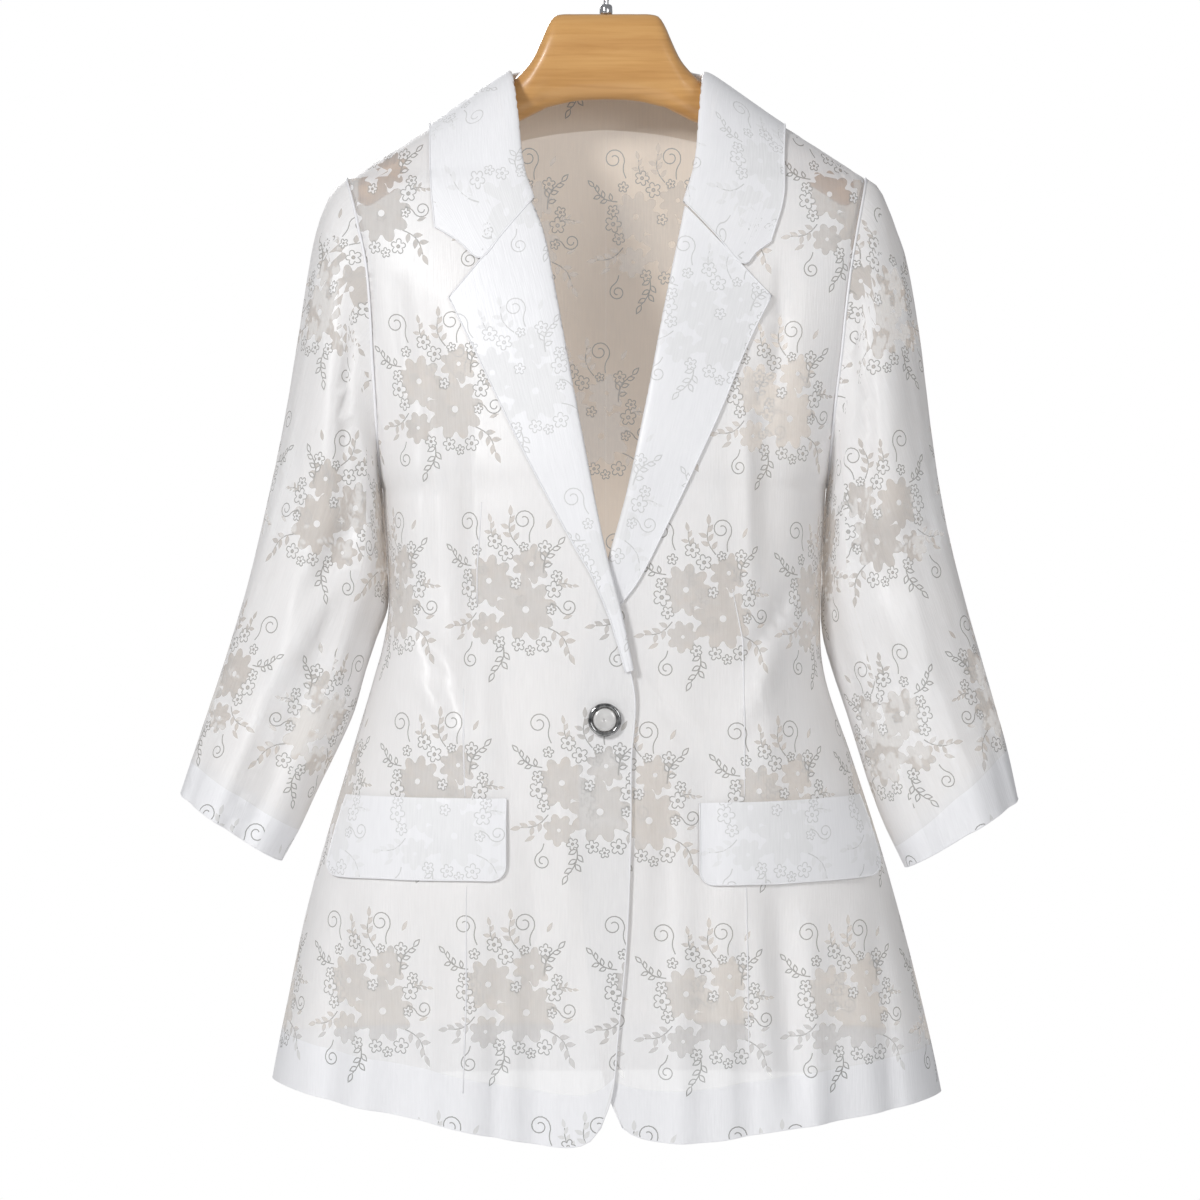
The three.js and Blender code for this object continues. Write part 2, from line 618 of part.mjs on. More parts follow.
// Collar: stand from the neck seam up to the roll, then the fall over it to the outer edge.
function collarGrid() {
  const rows = [];
  const steps = 40;
  for (let k = 0; k <= steps; k++) {
    const round = (k / steps) * 2 - 1;
    const side = round < 0 ? RIGHT : LEFT;
    const collar = side === RIGHT ? RIGHT_COLLAR : LEFT_COLLAR;
    const row = LAST_STATION * (1 - abs(round));
    const seat = (across, level) => seatPoint(side, across, level);
    const place = (across, root, high) => raisedSeat(seat, across, root * abs(root), high);
    const [baseX, base] = [collar.baseX(row), collar.base(row)];
    const [rollX, roll] = [collar.rollX(row), collar.roll(row)];
    const [midX, mid] = [collar.midX(row), collar.mid(row)];
    const [edgeX, edge] = [collar.edgeX(row), collar.edge(row)];
    const stand = hypot(rollX - baseX, roll * abs(roll) - base * abs(base));
    const start = min(FOLD_START / stand, 0.45);
    const width = hypot(midX - rollX, mid * abs(mid) - roll * abs(roll));
    const past = (step) => [lerp(rollX, midX, -step / width), lerp(roll, mid, -step / width)];
    const standSteps = [start, 0.5 + start / 2].map((share) =>
      place(lerp(baseX, rollX, share), lerp(base, roll, share), -WALL),
    );
    const [tightX, tight] = past(ROLL_OUT * 0.5);
    const [turnX, turn] = past(ROLL_OUT);
    const wrap = [place(tightX, tight, -0.8), place(turnX, turn, 0.9), place(tightX, tight, 2.4)];
    const fall = FALL_STEPS.map((step) => {
      const inner = min(step.share / NOTCH_AT, 1);
      const outer = max((step.share - NOTCH_AT) / (1 - NOTCH_AT), 0);
      const x = lerp(lerp(rollX, midX, inner), edgeX, outer);
      const level = lerp(lerp(roll, mid, inner), edge, outer);
      return place(x, level, step.high);
    });
    rows.push([...standSteps, ...wrap, ...fall]);
  }
  return rows;
}

// Moves a point near the shoulder out along the body's face there.
function raisedSeat(seat, across, level, high) {
  const step = 1.5;
  const point = seat(across, level);
  const along = seat(across + step, level).sub(seat(max(across - step, 0), level));
  const down = seat(across, level + step).sub(seat(across, level - step));
  const normal = along.cross(down).normalize();
  const outward = new THREE.Vector3(0, level === 0 ? 0 : sign(level), 0.5);
  if (normal.dot(outward) < 0) normal.negate();
  return point.addScaledVector(normal, high);
}

// Pocket flap on the front, with round lower corners.
function flapGrid(side) {
  const innerX = side === RIGHT ? 66 : 61;
  const outerShare = side === RIGHT ? 0.955 : 0.965;
  return grid(7, 12, (u, rowShare) => {
    const v = 1 - (1 - rowShare) ** 1.5;
    const drop = FLAP_TOP + FLAP_HIGH * v + (side === LEFT ? 3 * (1 - u) : 0);
    const past = max(v * FLAP_HIGH - (FLAP_HIGH - FLAP_CORNER), 0);
    const inset = FLAP_CORNER - sqrt(FLAP_CORNER ** 2 - past ** 2);
    const width = halfWidth(side, drop);
    const outerAngle = angleAt(side, width * outerShare - inset, drop);
    const innerAngle = angleAt(side, innerX + inset, drop);
    const angle = lerp(innerAngle, outerAngle, u);
    const high = LIFT + 1.2 * sin(PI * min(v, 0.999)) ** 0.8;
    const point = bodyPoint(side, "front", angle, drop);
    const near = (turn, below) => bodyPoint(side, "front", angle + turn, drop + below);
    const aside = near(0.01, 0).sub(near(-0.01, 0));
    const down = near(0, 1).sub(near(0, -1));
    const normal = aside.cross(down).normalize();
    if (normal.y > 0) normal.negate();
    return point.addScaledVector(normal, high);
  });
}

// Hanger: contoured arms and a tall neck, as rings across its width.
function hangerRings() {
  const sides = 16;
  const places = [12, 19, 21.4, 23.8, 26.8, 30, 33.5, 39, 55, 75, 90, 97, 98.5, 100];
  const all = [...places.map((place) => -place).reverse(), 0, ...places];
  return all.map((percent) => {
    const x = (percent / 100) * HANGER_END;
    const [top, bottom] = [HANGER.top(abs(x)), HANGER.bottom(abs(x))];
    const middle = (top + bottom) / 2;
    const ahead = -2 - (abs(x) / HANGER_END) * 2;
    return Array.from({ length: sides }, (_, k) => {
      const angle = (k / sides) * 2 * PI;
      const high = ((bottom - top) / 2) * signedPower(sin(angle), HANGER_ROUND);
      const deep = HANGER.half(abs(x)) * signedPower(cos(angle), HANGER_ROUND);
      return new THREE.Vector3(x, ahead + deep, -middle + high);
    });
  });
}

// Hook: a stem out of the wood, then a crook most of the way round.
function hookRings() {
  const radius = HOOK_INNER_R + WIRE_R;
  const points = [
    new THREE.Vector3(0, 0, -WOOD_TOP + SEAM),
    new THREE.Vector3(0, 0, -WOOD_TOP + FERRULE_HIGH),
    new THREE.Vector3(1.2, 0, -HOOK_CENTRE_DROP - radius - 1.2),
  ];
  for (let turn = -68; turn <= 202; turn += 15) {
    const angle = degToRad(turn);
    points.push(new THREE.Vector3(radius * cos(angle), 0, radius * sin(angle) - HOOK_CENTRE_DROP));
  }
  const curve = new THREE.CatmullRomCurve3(points);
  const steps = 34;
  const sides = 8;
  return Array.from({ length: steps + 1 }, (_, i) => {
    const point = curve.getPointAt(i / steps);
    const ahead = curve.getTangentAt(i / steps);
    const aside = new THREE.Vector3(0, 1, 0).cross(ahead).normalize();
    return Array.from({ length: sides }, (_, k) => {
      const angle = (k / sides) * 2 * PI;
      return point
        .clone()
        .addScaledVector(aside, WIRE_R * cos(angle))
        .addScaledVector(new THREE.Vector3(0, -1, 0), -WIRE_R * sin(angle));
    });
  });
}

// Turned solid whose axis points at the viewer, from a closed outline of radius and height.
function turned(outline, segments) {
  const profile = outline.map(([radius, height]) => new THREE.Vector2(radius, height));
  const geometry = new THREE.LatheGeometry(profile, segments);
  return geometry.rotateX(PI);
}

const group = new THREE.Group();
const cloth = (name) => new THREE.MeshStandardMaterial({ name, color: 0xf4f3f6, roughness: 0.6, side: 2 });
function add(name, geometry, material) {
  const mesh = new THREE.Mesh(geometry, material);
  mesh.name = name;
  group.add(mesh);
  return mesh;
}

const WORD = { [RIGHT]: "right", [LEFT]: "left" };
for (const side of [RIGHT, LEFT]) {
  const word = WORD[side];
  const onShoulder = Math.floor(BACK_COLUMNS * BACK_NECK_AT);
  const frontSeams = (i, j) => i === 0 || j === 0;
  const backSeams = (i, j) => (i === 0 && j <= onShoulder) || j === 0;
  const front = frontGrid(side);
  const back = backGrid(side);
  add(`front_${word}`, wall(front, side, gridNormals(front, side, frontSeams)), cloth("burnout_cloth"));
  add(`back_${word}`, wall(back, -side, gridNormals(back, -side, backSeams)), cloth("burnout_cloth"));
  add(`lapel_${word}`, wall(lapelGrid(side), -side), cloth("burnout_cloth"));
  add(`flap_${word}`, wall(flapGrid(side), -side), cloth("burnout_cloth"));
  const upper = sleeveWall(side, BACK_SEAM, FRONT_SEAM, 16);
  const under = sleeveWall(side, FRONT_SEAM, BACK_SEAM + 360, 10);
  add(`sleeve_${word}_upper`, upper, cloth("burnout_cloth"));
  add(`sleeve_${word}_under`, under, cloth("burnout_cloth"));
}
add("collar", wall(collarGrid(), 1), cloth("burnout_cloth"));

const wood = new THREE.MeshStandardMaterial({ name: "varnished_wood", color: 0xcd9b5a, roughness: 0.35 });
const steel = () =>
  new THREE.MeshStandardMaterial({ name: "chrome", color: 0xc9c9cc, roughness: 0.2, metalness: 1 });
const pearl = new THREE.MeshStandardMaterial({ name: "pearl", color: 0xdad8d5, roughness: 0.3 });
add("hanger_wood", loft(hangerRings()), wood);
add("hanger_hook", loft(hookRings()), steel());
const ferruleInner = WIRE_R + SEAM + 0.1;
const ferrule = new THREE.LatheGeometry(
  [
    [ferruleInner, 0],
    [FERRULE_R, 0],
    [FERRULE_R, FERRULE_HIGH - 1],
    [FERRULE_R - 1, FERRULE_HIGH],
    [ferruleInner, FERRULE_HIGH],
    [ferruleInner, 0],
  ].map(([radius, height]) => new THREE.Vector2(radius, height)),
  14,
);
ferrule.rotateX(PI / 2);
add("hook_ferrule", ferrule, steel()).position.set(0, 0, -WOOD_TOP + SEAM);

const seat = frontPoint(RIGHT, -BUTTON_X, BUTTON_DROP);
const rim = turned(
  [
    [BUTTON_HOLE_R, 0],
    [BUTTON_R - 0.8, 0],
    [BUTTON_R, 0.8],
    [BUTTON_R, BUTTON_THICK - 1.2],
    [BUTTON_R - 1.1, BUTTON_THICK],
    [BUTTON_HOLE_R, BUTTON_THICK - 0.8],
    [BUTTON_HOLE_R, 0],
  ],
  22,
);
const centre = turned(
  [
    [0, 0],
    [BUTTON_HOLE_R - SEAM, 0],
    [BUTTON_HOLE_R - SEAM, BUTTON_THICK - 1.4],
    [BUTTON_HOLE_R * 0.6, BUTTON_THICK - 0.9],
    [0, BUTTON_THICK - 0.7],
  ],
  22,
);
for (const [name, geometry, material] of [
  ["button_rim", rim, steel()],
  ["button_centre", centre, pearl],
])
  add(name, geometry, material).position.set(BUTTON_X, seat.y - LIE, -BUTTON_DROP);

export default group;
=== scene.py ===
"""Blazer of white burnout organza on a wooden hanger: the cloth with its folds and motifs, and every finish.

Millimetres in the shape functions, metres in Blender. x is to the wearer's left, y to the back, and drop is
how far a point lies below the inner top of the hook. The tables repeat those of part.mjs.
"""
import math

import bpy
import numpy as np
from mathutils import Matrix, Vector
from mathutils.bvhtree import BVHTree
from mathutils.geometry import delaunay_2d_cdt


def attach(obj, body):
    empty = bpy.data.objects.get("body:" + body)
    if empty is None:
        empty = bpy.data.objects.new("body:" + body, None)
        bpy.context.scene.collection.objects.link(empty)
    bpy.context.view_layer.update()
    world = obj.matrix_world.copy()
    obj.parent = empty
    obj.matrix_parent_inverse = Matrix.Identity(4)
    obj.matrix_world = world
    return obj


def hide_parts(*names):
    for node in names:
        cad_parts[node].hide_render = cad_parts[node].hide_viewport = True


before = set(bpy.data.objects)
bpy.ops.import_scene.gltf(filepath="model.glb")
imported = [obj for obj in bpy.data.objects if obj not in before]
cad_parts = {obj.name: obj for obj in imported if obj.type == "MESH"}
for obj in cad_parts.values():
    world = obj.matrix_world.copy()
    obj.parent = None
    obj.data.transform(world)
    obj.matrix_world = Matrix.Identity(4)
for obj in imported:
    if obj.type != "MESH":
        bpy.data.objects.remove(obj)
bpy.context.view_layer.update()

MM = 0.001
RIGHT, LEFT = -1, 1
WORD = {RIGHT: "right", LEFT: "left"}
PI = math.pi

# Sizes of the garment
WALL = 1.3
# Sewn edges meet closer here than the solids may, and the hard parts keep their gap
SEAM = 0.04
CLEAR = 0.3
ARMHOLE_SEAM = 1.1
LIE = 0.35
RIDGE_DROP = 56.5
SHOULDER_SLOPE = 0.65
SHOULDER_X = 175.4
NECK_X = 78
ARMHOLE_HEIGHT = 209
ARMHOLE_FRONT, ARMHOLE_BACK = 46, 50
SHOULDER_AHEAD = 4
SECTION_POWER = 2.4
OVERLAP_SINK = 6
ROLL_HIGH = 3.5
ROLL_OUT = 2.7
FOLD_START = 1.3
FLAP_TOP, FLAP_HIGH, FLAP_CORNER, FLAP_CROWN = 587, 54, 10, 1.2
BUTTON_X, BUTTON_DROP = -1, 535
BUTTON_R, BUTTON_HOLE_R, BUTTON_THICK = 11, 7.9, 4
HOOK_INNER_R, WIRE_R = 22, 1.7
FERRULE_R, FERRULE_HIGH = 4.2, 6.5
WOOD_TOP = 58.5
# Where the turned-up hem starts, as a share of a body panel's length
HEM_FROM = 1 - 27 / 700
SIDE_SEAM_X = 228
SHOULDER_DROP = RIDGE_DROP + SHOULDER_SLOPE * SHOULDER_X
NECK_DROP = RIDGE_DROP + SHOULDER_SLOPE * NECK_X
UNDERARM_DROP = SHOULDER_DROP + ARMHOLE_HEIGHT
LIFT = WALL + LIE
UNDERARM_AT = 0.32
ROWS_CLOSER_ABOVE = 1.4
CORNER_DROP = 803
BACK_HEM = 786
BACK_NECK_DROP = 109
BACK_NECK_AT = 7 / 13
NOTCH_AT = 0.6
# Rows and columns of each piece's grid: points for the lapels and the collar, steps for the others
BODY_GRID, LAPEL_GRID, COLLAR_GRID, FLAP_GRID = (150, 90), (90, 46), (180, 50), (40, 60)
SLEEVE_ROWS, SLEEVE_COLUMNS = 130, {"upper": 80, "under": 48}
# Steps in the hem band of a body panel, and how many last rows of a sleeve are its hem
BODY_HEM_ROWS, SLEEVE_HEM_ROWS = 6, 9
# Columns of the tight roll, first column of the edge that shows, and first column of the collar's fall
LAPEL_ROLL, LAPEL_RIM = (4, 28), 14
COLLAR_ROLL, COLLAR_RIM, COLLAR_FALL = (5, 28), 20, 25
# Row of a front where its folded edge starts to show
FRONT_EDGE_ROW = 63
# How far the hem's second layer and the folded edges lie inside, and the radii of folds and seams
HEM_INSIDE, FOLD_INSIDE = 0.8, 0.4
FOLD_R, FRONT_FOLD_R, FINE_R, ARMHOLE_R = 0.55, 0.6, 0.5, 0.95


class Table:
    """Smooth curves through rows of numbers, one for each named column, by the first column's value."""

    def __init__(self, names, rows):
        data = np.array(rows, float)
        self.keys = data[:, 0]
        for k, name in enumerate(names.split()[1:], 1):
            setattr(self, name, self.curve(data[:, k]))

    def curve(self, values):
        keys = self.keys
        last = len(keys) - 1

        def at(key):
            key = np.clip(key, keys[0], keys[-1])
            i = np.clip(np.searchsorted(keys, key, side="right"), 1, last)
            t0, t1 = keys[i - 1], keys[i]
            before = np.where(i > 1, i - 2, i)
            after = np.where(i < last, i + 1, i - 1)
            half = (t1 - t0) / 2
            wp = half / (t0 - np.where(i > 1, keys[before], t1))
            wn = half / (np.where(i < last, keys[after], t0) - t1)
            p = (key - t0) / (t1 - t0)
            pp, ppp = p**2, p**3
            return (
                (-wp * ppp + 2 * wp * pp - wp * p) * values[before]
                + ((1 + wp) * ppp - (1.5 + 2 * wp) * pp + (wp - 0.5) * p + 1) * values[i - 1]
                + ((-1 - wn) * ppp + (1.5 + wn) * pp + 0.5 * p) * values[i]
                + (wn * ppp - wn * pp) * values[after]
            )

        return at


# Half width of each side by drop
WIDTH = Table("drop right left", [
    [170.5, 175.4, 175.4], [188, 170, 172], [205, 166, 168.5], [230, 160.5, 164], [260, 157.5, 160],
    [290, 156, 157], [330, 154, 152.5], [383, 151.5, 149], [420, 149, 147], [460, 147.4, 145.6],
    [490, 152, 145.8], [504, 156, 147.6], [518, 160, 151], [558, 172, 165], [613, 188.4, 183],
    [667, 203.3, 198.6], [722, 215, 212.8], [776, 225.8, 225], [820, 233, 233],
])

# Depth of the front and back at the centre, and how round the section is at its side
DEPTH = Table("drop front back round", [
    [60, 12, 14, 2.2], [100, 30, 34, 2.2], [150, 46, 52, 2.1], [175, 54, 59, 1.9], [200, 62, 66, 1.5],
    [250, 76, 76, 1.25], [300, 88, 83, 1.2], [350, 96, 86, 1.5], [383, 99, 86, 2.2], [450, 102, 81, 2.3],
    [540, 101, 80, 2.3], [700, 100, 86, 2.3], [820, 101, 94, 2.3],
])

# Front edge of each front
FRONT_EDGE = Table("drop right left", [
    [107.2, 78, 78], [140, 69, 70], [165, 60.5, 64], [192, 51.5, 55], [211, 44, 51], [254, 35, 42],
    [325, 22, 28.5], [391, 9, 14], [430, 1, 3], [464, -7.5, -7], [500, -15, -15], [521, -18.8, -18.8],
    [561, -16.5, -17.5], [612, -16, -17], [687, -13, -13], [744, -7.5, -6], [782, -3.5, 2], [803, 4, 11],
])

# Hem of each front by distance from the centre line
HEM = Table("across right left", [
    [3, 805, 794], [10, 814, 806.5], [20, 818.5, 813], [36, 818.5, 816.5], [68, 813, 816],
    [100, 806.5, 811], [140, 798, 805], [190, 789, 797], [228, 780, 789],
])

# Soft troughs, or ridges where deep is below 0: x0, drop0, x1, drop1, wide, deep
FOLDS = {
    "front": [
        [-101, 300, -104, 560, 15, 6], [-135, 330, -138, 540, 14, -3.5], [-62, 400, -60, 640, 18, 3],
        [-46, 600, -44, 1000, 15, 6], [-128, 640, -150, 1000, 18, 5], [-92, 640, -98, 1000, 16, -4],
        [104, 280, 108, 520, 14, 4], [72, 430, 60, 690, 17, 4], [112, 640, 132, 800, 14, 6],
        [66, 640, 72, 1000, 16, -3], [150, 650, 168, 1000, 15, 4],
    ],
    "back": [
        [-110, 300, -104, 560, 16, 5], [-50, 380, -40, 700, 18, 4], [-120, 600, -140, 1000, 20, 6],
        [-30, 620, -34, 1000, 18, 4], [106, 300, 100, 540, 16, 5], [58, 400, 52, 720, 18, 4],
        [96, 600, 112, 1000, 18, 6], [28, 640, 30, 1000, 16, -3],
    ],
}
# Narrower creases between them, only in the cloth shown here
CREASE_DEEP = 3.3
CREASES = {
    "front": [
        [-118, 250, -112, 460, 6, 1.4], [-88, 330, -93, 520, 7, -1.5], [-74, 470, -60, 600, 8, 1.2],
        [-128, 470, -98, 510, 7, 1.3], [-126, 505, -92, 556, 8, -1.2], [-30, 560, -24, 700, 8, -1.3],
        [-112, 655, -122, 830, 9, 1.6], [-70, 645, -74, 900, 7, 1.5], [-170, 640, -196, 900, 9, 1.6],
        [-22, 640, -26, 900, 7, 1.1], [-140, 240, -128, 330, 7, 1.5], [120, 225, 112, 330, 7, 1.5],
        [92, 300, 96, 470, 7, -1.4], [128, 440, 92, 500, 7, 1.3], [118, 480, 86, 545, 8, -1.2],
        [40, 560, 36, 720, 8, 1.3], [88, 650, 96, 860, 8, 1.5], [48, 645, 50, 900, 7, -1.2],
        [130, 655, 146, 900, 8, -1.5], [178, 650, 200, 900, 8, 1.5], [24, 500, 60, 560, 8, 1.1],
        [-103, 320, -99, 640, 11, 1.4], [-47, 560, -47, 920, 12, 1.5], [65, 560, 69, 900, 11, 1.4],
        [104, 400, 108, 600, 10, -1.2], [-150, 640, -170, 900, 12, -1.4], [112, 640, 124, 800, 9, 1.6],
    ],
    "back": [
        [-122, 250, -112, 430, 7, 1.4], [-82, 330, -76, 560, 8, -1.5], [-24, 300, -20, 560, 8, 1.2],
        [-128, 470, -80, 520, 8, 1.3], [-84, 620, -96, 900, 9, 1.5], [-168, 640, -190, 900, 9, 1.6],
        [124, 250, 112, 430, 7, 1.4], [80, 330, 76, 560, 8, -1.5], [20, 320, 24, 600, 8, 1.3],
        [128, 470, 82, 525, 8, 1.3], [70, 620, 78, 900, 9, -1.5], [150, 640, 172, 900, 9, 1.6],
    ],
}

# Sleeve rings, from the armhole to the cuff
RING = "row outerX outerDrop innerX innerDrop front back ahead bow"
SLEEVE = {
    RIGHT: Table(RING, [
        [0, 176.3, 170.5, 152.4, 379.5, 47, 51, 2, 1], [1, 180, 172, 152.2, 383, 47.5, 51.5, 2, 0.7],
        [2, 186, 179.5, 151.9, 389, 48.5, 52, 2, 0.45], [3, 192, 192, 151.6, 397, 49.5, 53, 2.5, 0.25],
        [4, 197, 208, 151.2, 406, 50.5, 54, 3, 0.1], [5, 201, 227, 150.6, 419, 51, 54.5, 3, 0],
        [6, 205.5, 256, 149.8, 436, 51.5, 54.5, 4, 0], [7, 211.5, 295, 149.4, 456, 51.5, 53.5, 5, 0],
        [8, 220, 345, 154.7, 479, 50.5, 51, 7, 0], [9, 231, 397, 163, 505, 48.5, 48.5, 9, 0],
        [10, 242, 444, 170.5, 532, 46.5, 46, 12, 0], [11, 255.5, 490, 181.5, 557, 45, 43.5, 14, 0],
        [12, 269.5, 533, 194.5, 584, 43, 41.5, 17, 0], [13, 279.5, 563, 206.5, 610, 41.5, 40, 19, 0],
        [14, 287, 586, 218.5, 632, 40, 38.5, 20, 0],
    ]),
    LEFT: Table(RING, [
        [0, 176.3, 170.5, 150, 379.5, 47, 51, 2, 1], [1, 181, 172.5, 150, 383, 47.5, 51.5, 2, 0.7],
        [2, 187, 180, 149.8, 390, 48.5, 52, 2, 0.45], [3, 192, 191, 149.5, 399, 49.5, 53, 2.5, 0.25],
        [4, 197, 205, 149.2, 410, 50.5, 54, 3, 0.1], [5, 203, 222, 148.8, 424, 51, 54.5, 3, 0],
        [6, 208, 247, 148, 443, 51.5, 54.5, 4, 0], [7, 213.5, 283, 147.8, 466, 51.5, 53.5, 5, 0],
        [8, 219.5, 334, 151.5, 497, 50.5, 51, 7, 0], [9, 225.5, 378, 161, 527, 48.5, 48.5, 9, 0],
        [10, 234.5, 424, 171, 559, 46.5, 46, 12, 0], [11, 247, 472, 178.5, 583, 45, 43.5, 14, 0],
        [12, 260, 518, 187, 606, 43, 41.5, 17, 0], [13, 270, 554, 194.5, 622, 41.5, 40, 19, 0],
        [14, 278, 590, 201.5, 636.5, 40, 38.5, 20, 0],
    ]),
}
LAST_RING = 14
SLEEVE_R = 42
# Axes that a sleeve and its cap are unrolled round, and the rows between which the layouts are joined
SLEEVE_AXIS, CAP_AXIS, CAP_ROWS = (0.36, 0, -0.93), (0.66, 0, -0.75), (20, 45)
FRONT_SEAM, BACK_SEAM = 125, -100
# angle0, row0, angle1, row1, wide, deep
SLEEVE_FOLDS = [
    [112, 4, 104, 22, 15, 5], [70, 7, 62, 13, 15, 3.5], [42, 9, 58, 22, 13, -2.5],
    [-60, 6, -72, 20, 16, 4.5], [-118, 5, -110, 13, 14, 4],
]
SLEEVE_CREASES = [
    [88, 2, 96, 8, 7, 1.4], [122, 6, 84, 9.5, 7, 1.5], [120, 7.5, 80, 11, 7, -1.3],
    [28, 3, 20, 10, 8, 1.3], [92, 9, 84, 20, 7, 1.3], [20, 9, 26, 20, 8, -1.2], [-20, 2, -30, 9, 9, 1.4],
    [-90, 3, -84, 10, 8, 1.4], [-40, 9, -44, 20, 8, 1.2], [150, 6, 146, 12, 9, 1.3],
    [74, 2, 78, 26, 16, -1.1], [106, 2, 112, 26, 14, 1.2], [44, 2, 40, 24, 10, 0.9],
]

# Collar stations from the gorge to the centre back: neck seam, roll, mid and outer edge
STATION = "row baseX base rollX roll midX mid edgeX edge"


def signed_power(value, power):
    return np.sign(value) * np.abs(value) ** power


def rooted(rows):
    """The levels are joined by their roots, because depth goes as the root of the level there."""
    data = np.array(rows, float)
    data[:, 2::2] = signed_power(data[:, 2::2], 0.5)
    return data


BACK_STATIONS = [
    [5, 57, 13.3, 49, 6, 80, 19, 99, 26], [6, 37, 26.8, 33, 13, 56, 30, 70, 40],
    [7, 17, 40.2, 15, 21, 32, 41, 40, 53], [8, 0, 51.3, 0, 27, 0, 57, 0, 75],
]
COLLAR = {
    RIGHT: Table(STATION, rooted([
        [0, 51.5, -102, 50, -102.5, 83, -119.5, 114, -77.5],
        [1, 60, -69.5, 56.5, -75.5, 95, -57.5, 117, -45.5],
        [2, 68.6, -38.5, 60.6, -41.5, 96, -28.5, 118, -18.5],
        [3, 77, 0, 67, 0, 98, 0, 118, 0],
        [4, 70, 2.6, 61, 3, 94, 9, 113, 12],
    ] + BACK_STATIONS)),
    LEFT: Table(STATION, rooted([
        [0, 55, -102, 53.5, -102.5, 90, -118.5, 109.5, -90.5],
        [1, 64, -66.5, 60.5, -72.5, 97, -61.5, 118, -55.5],
        [2, 70, -37.5, 64, -39.5, 98, -31.5, 119, -25.5],
        [3, 77, 0, 68, 0, 99, 0, 120, 0],
        [4, 70, 2.6, 62, 3, 95, 9, 114, 12],
    ] + BACK_STATIONS)),
}
LAST_STATION = 8

# Lapel rows from the gorge to the lower end
LAPEL = {
    RIGHT: Table("row rollDrop outerX outerDrop", [
        [0, 193, 104, 256], [1, 250, 82, 301], [2, 310, 61, 345], [3, 352, 43, 380],
        [4, 400, 21, 421], [5, 432, 9, 442], [6, 468, -3, 471], [7, 503, -12.8, 504],
    ]),
    LEFT: Table("row rollDrop outerX outerDrop", [
        [0, 197, 109, 255], [1, 238, 92, 290], [2, 290, 77, 327], [3, 340, 57, 371],
        [4, 385, 37, 413], [5, 420, 22, 442], [6, 440, 12, 456], [7, 456, 4, 466],
    ]),
}
LAST_LAPEL_ROW = 7
# How far past the fold and how high, then share of the width and how high
FOLD_STEPS = [[FOLD_START, -WALL], [1.9, -1.15], [ROLL_OUT, 0.8], [1.6, 2.4]]
FALL_STEPS = [[0.03, 3.2], [0.14, ROLL_HIGH], [0.32, 3.1], [NOTCH_AT, 2.4], [0.8, 1.9], [1, LIFT]]

# Hanger sections by distance from the centre
HANGER = Table("x top bottom half", [
    [0, 58.5, 116.5, 12], [20, 58.5, 117.5, 12], [32, 59, 120, 12], [36, 60.5, 121, 12], [40, 66.5, 122, 12],
    [45, 78, 124.5, 12], [50, 88.5, 127, 12], [56, 96.5, 130, 11.5], [65, 105, 134, 11], [78, 112, 140, 11],
    [90, 118.4, 146, 11.5], [120, 137.9, 163, 12.5], [150, 157.4, 182, 12.5], [163, 166, 189, 10],
    [168, 171.5, 186, 5],
])
HANGER_END = 168
HANGER_ROUND = 0.9


def pack(*parts):
    """Points from an array for each coordinate."""
    return np.stack(np.broadcast_arrays(*parts), axis=-1)


def lerp(a, b, t):
    return a + (b - a) * t


def smooth(x, low, high):
    t = np.clip((x - low) / (high - low), 0, 1)
    return t * t * (3 - 2 * t)


def by_side(table, side):
    return table.right if side == RIGHT else table.left


def half_width(side, drop):
    line = (drop - RIDGE_DROP) / SHOULDER_SLOPE
    return np.where(drop < SHOULDER_DROP, line, by_side(WIDTH, side)(drop))


def edge_y(face, drop):
    """Depth at the side: the shoulder seam, then the armhole's edge, then the side seam."""
    down = np.maximum(drop - RIDGE_DROP, 0) / (SHOULDER_DROP - RIDGE_DROP)
    part = (drop - SHOULDER_DROP) / ARMHOLE_HEIGHT
    bulge = np.sqrt(np.maximum(1 - (2 * part - 1) ** 2, 0))
    reach = -ARMHOLE_FRONT if face == "front" else ARMHOLE_BACK
    armhole = lerp(-SHOULDER_AHEAD, 0, part) + reach * bulge
    return np.where(drop < SHOULDER_DROP, -SHOULDER_AHEAD * down, np.where(part > 1, 0, armhole))


def trough(rows, along, down):
    """Depth at a place of soft troughs that run from one place to another."""
    total = np.zeros(np.broadcast(along, down).shape)
    for start, top, end, bottom, wide, deep in rows:
        part = np.clip((down - top) / (bottom - top), 0, 1)
        away = (along - lerp(start, end, part)) / wide
        total += deep * np.sin(PI * part) ** 0.8 * np.exp(-away * away)
    return total


def overlap_sink(side, x, drop):
    if side == RIGHT:
        return 0
    low = 1 - 0.5 * smooth(drop, 480, 540)
    return OVERLAP_SINK * (1 - smooth(x, 20, 80)) * smooth(drop, 350, 420) * low


def body_point(side, face, angle, drop, creased=True):
    """Point on the body's outer face. angle is 0 at the side and a quarter turn at the centre."""
    out = -1 if face == "front" else 1
    x = side * half_width(side, drop) * signed_power(np.cos(angle), 2 / SECTION_POWER)
    seam = edge_y(face, drop) + out * SEAM / 2
    centre = out * (DEPTH.front(drop) if face == "front" else DEPTH.back(drop))
    share = np.abs(np.sin(angle)) ** (2 / DEPTH.round(drop))
    folds = trough(FOLDS[face], x, drop)
    if creased:
        folds = folds + CREASE_DEEP * trough(CREASES[face], x, drop) * smooth(np.abs(x), 4, 16)
    sunk = folds * smooth(share, 0, 0.5)
    if face == "front":
        sunk = sunk + overlap_sink(side, side * x, drop)
    y = lerp(seam, centre, share) - out * sunk
    return pack(x, y, -drop)


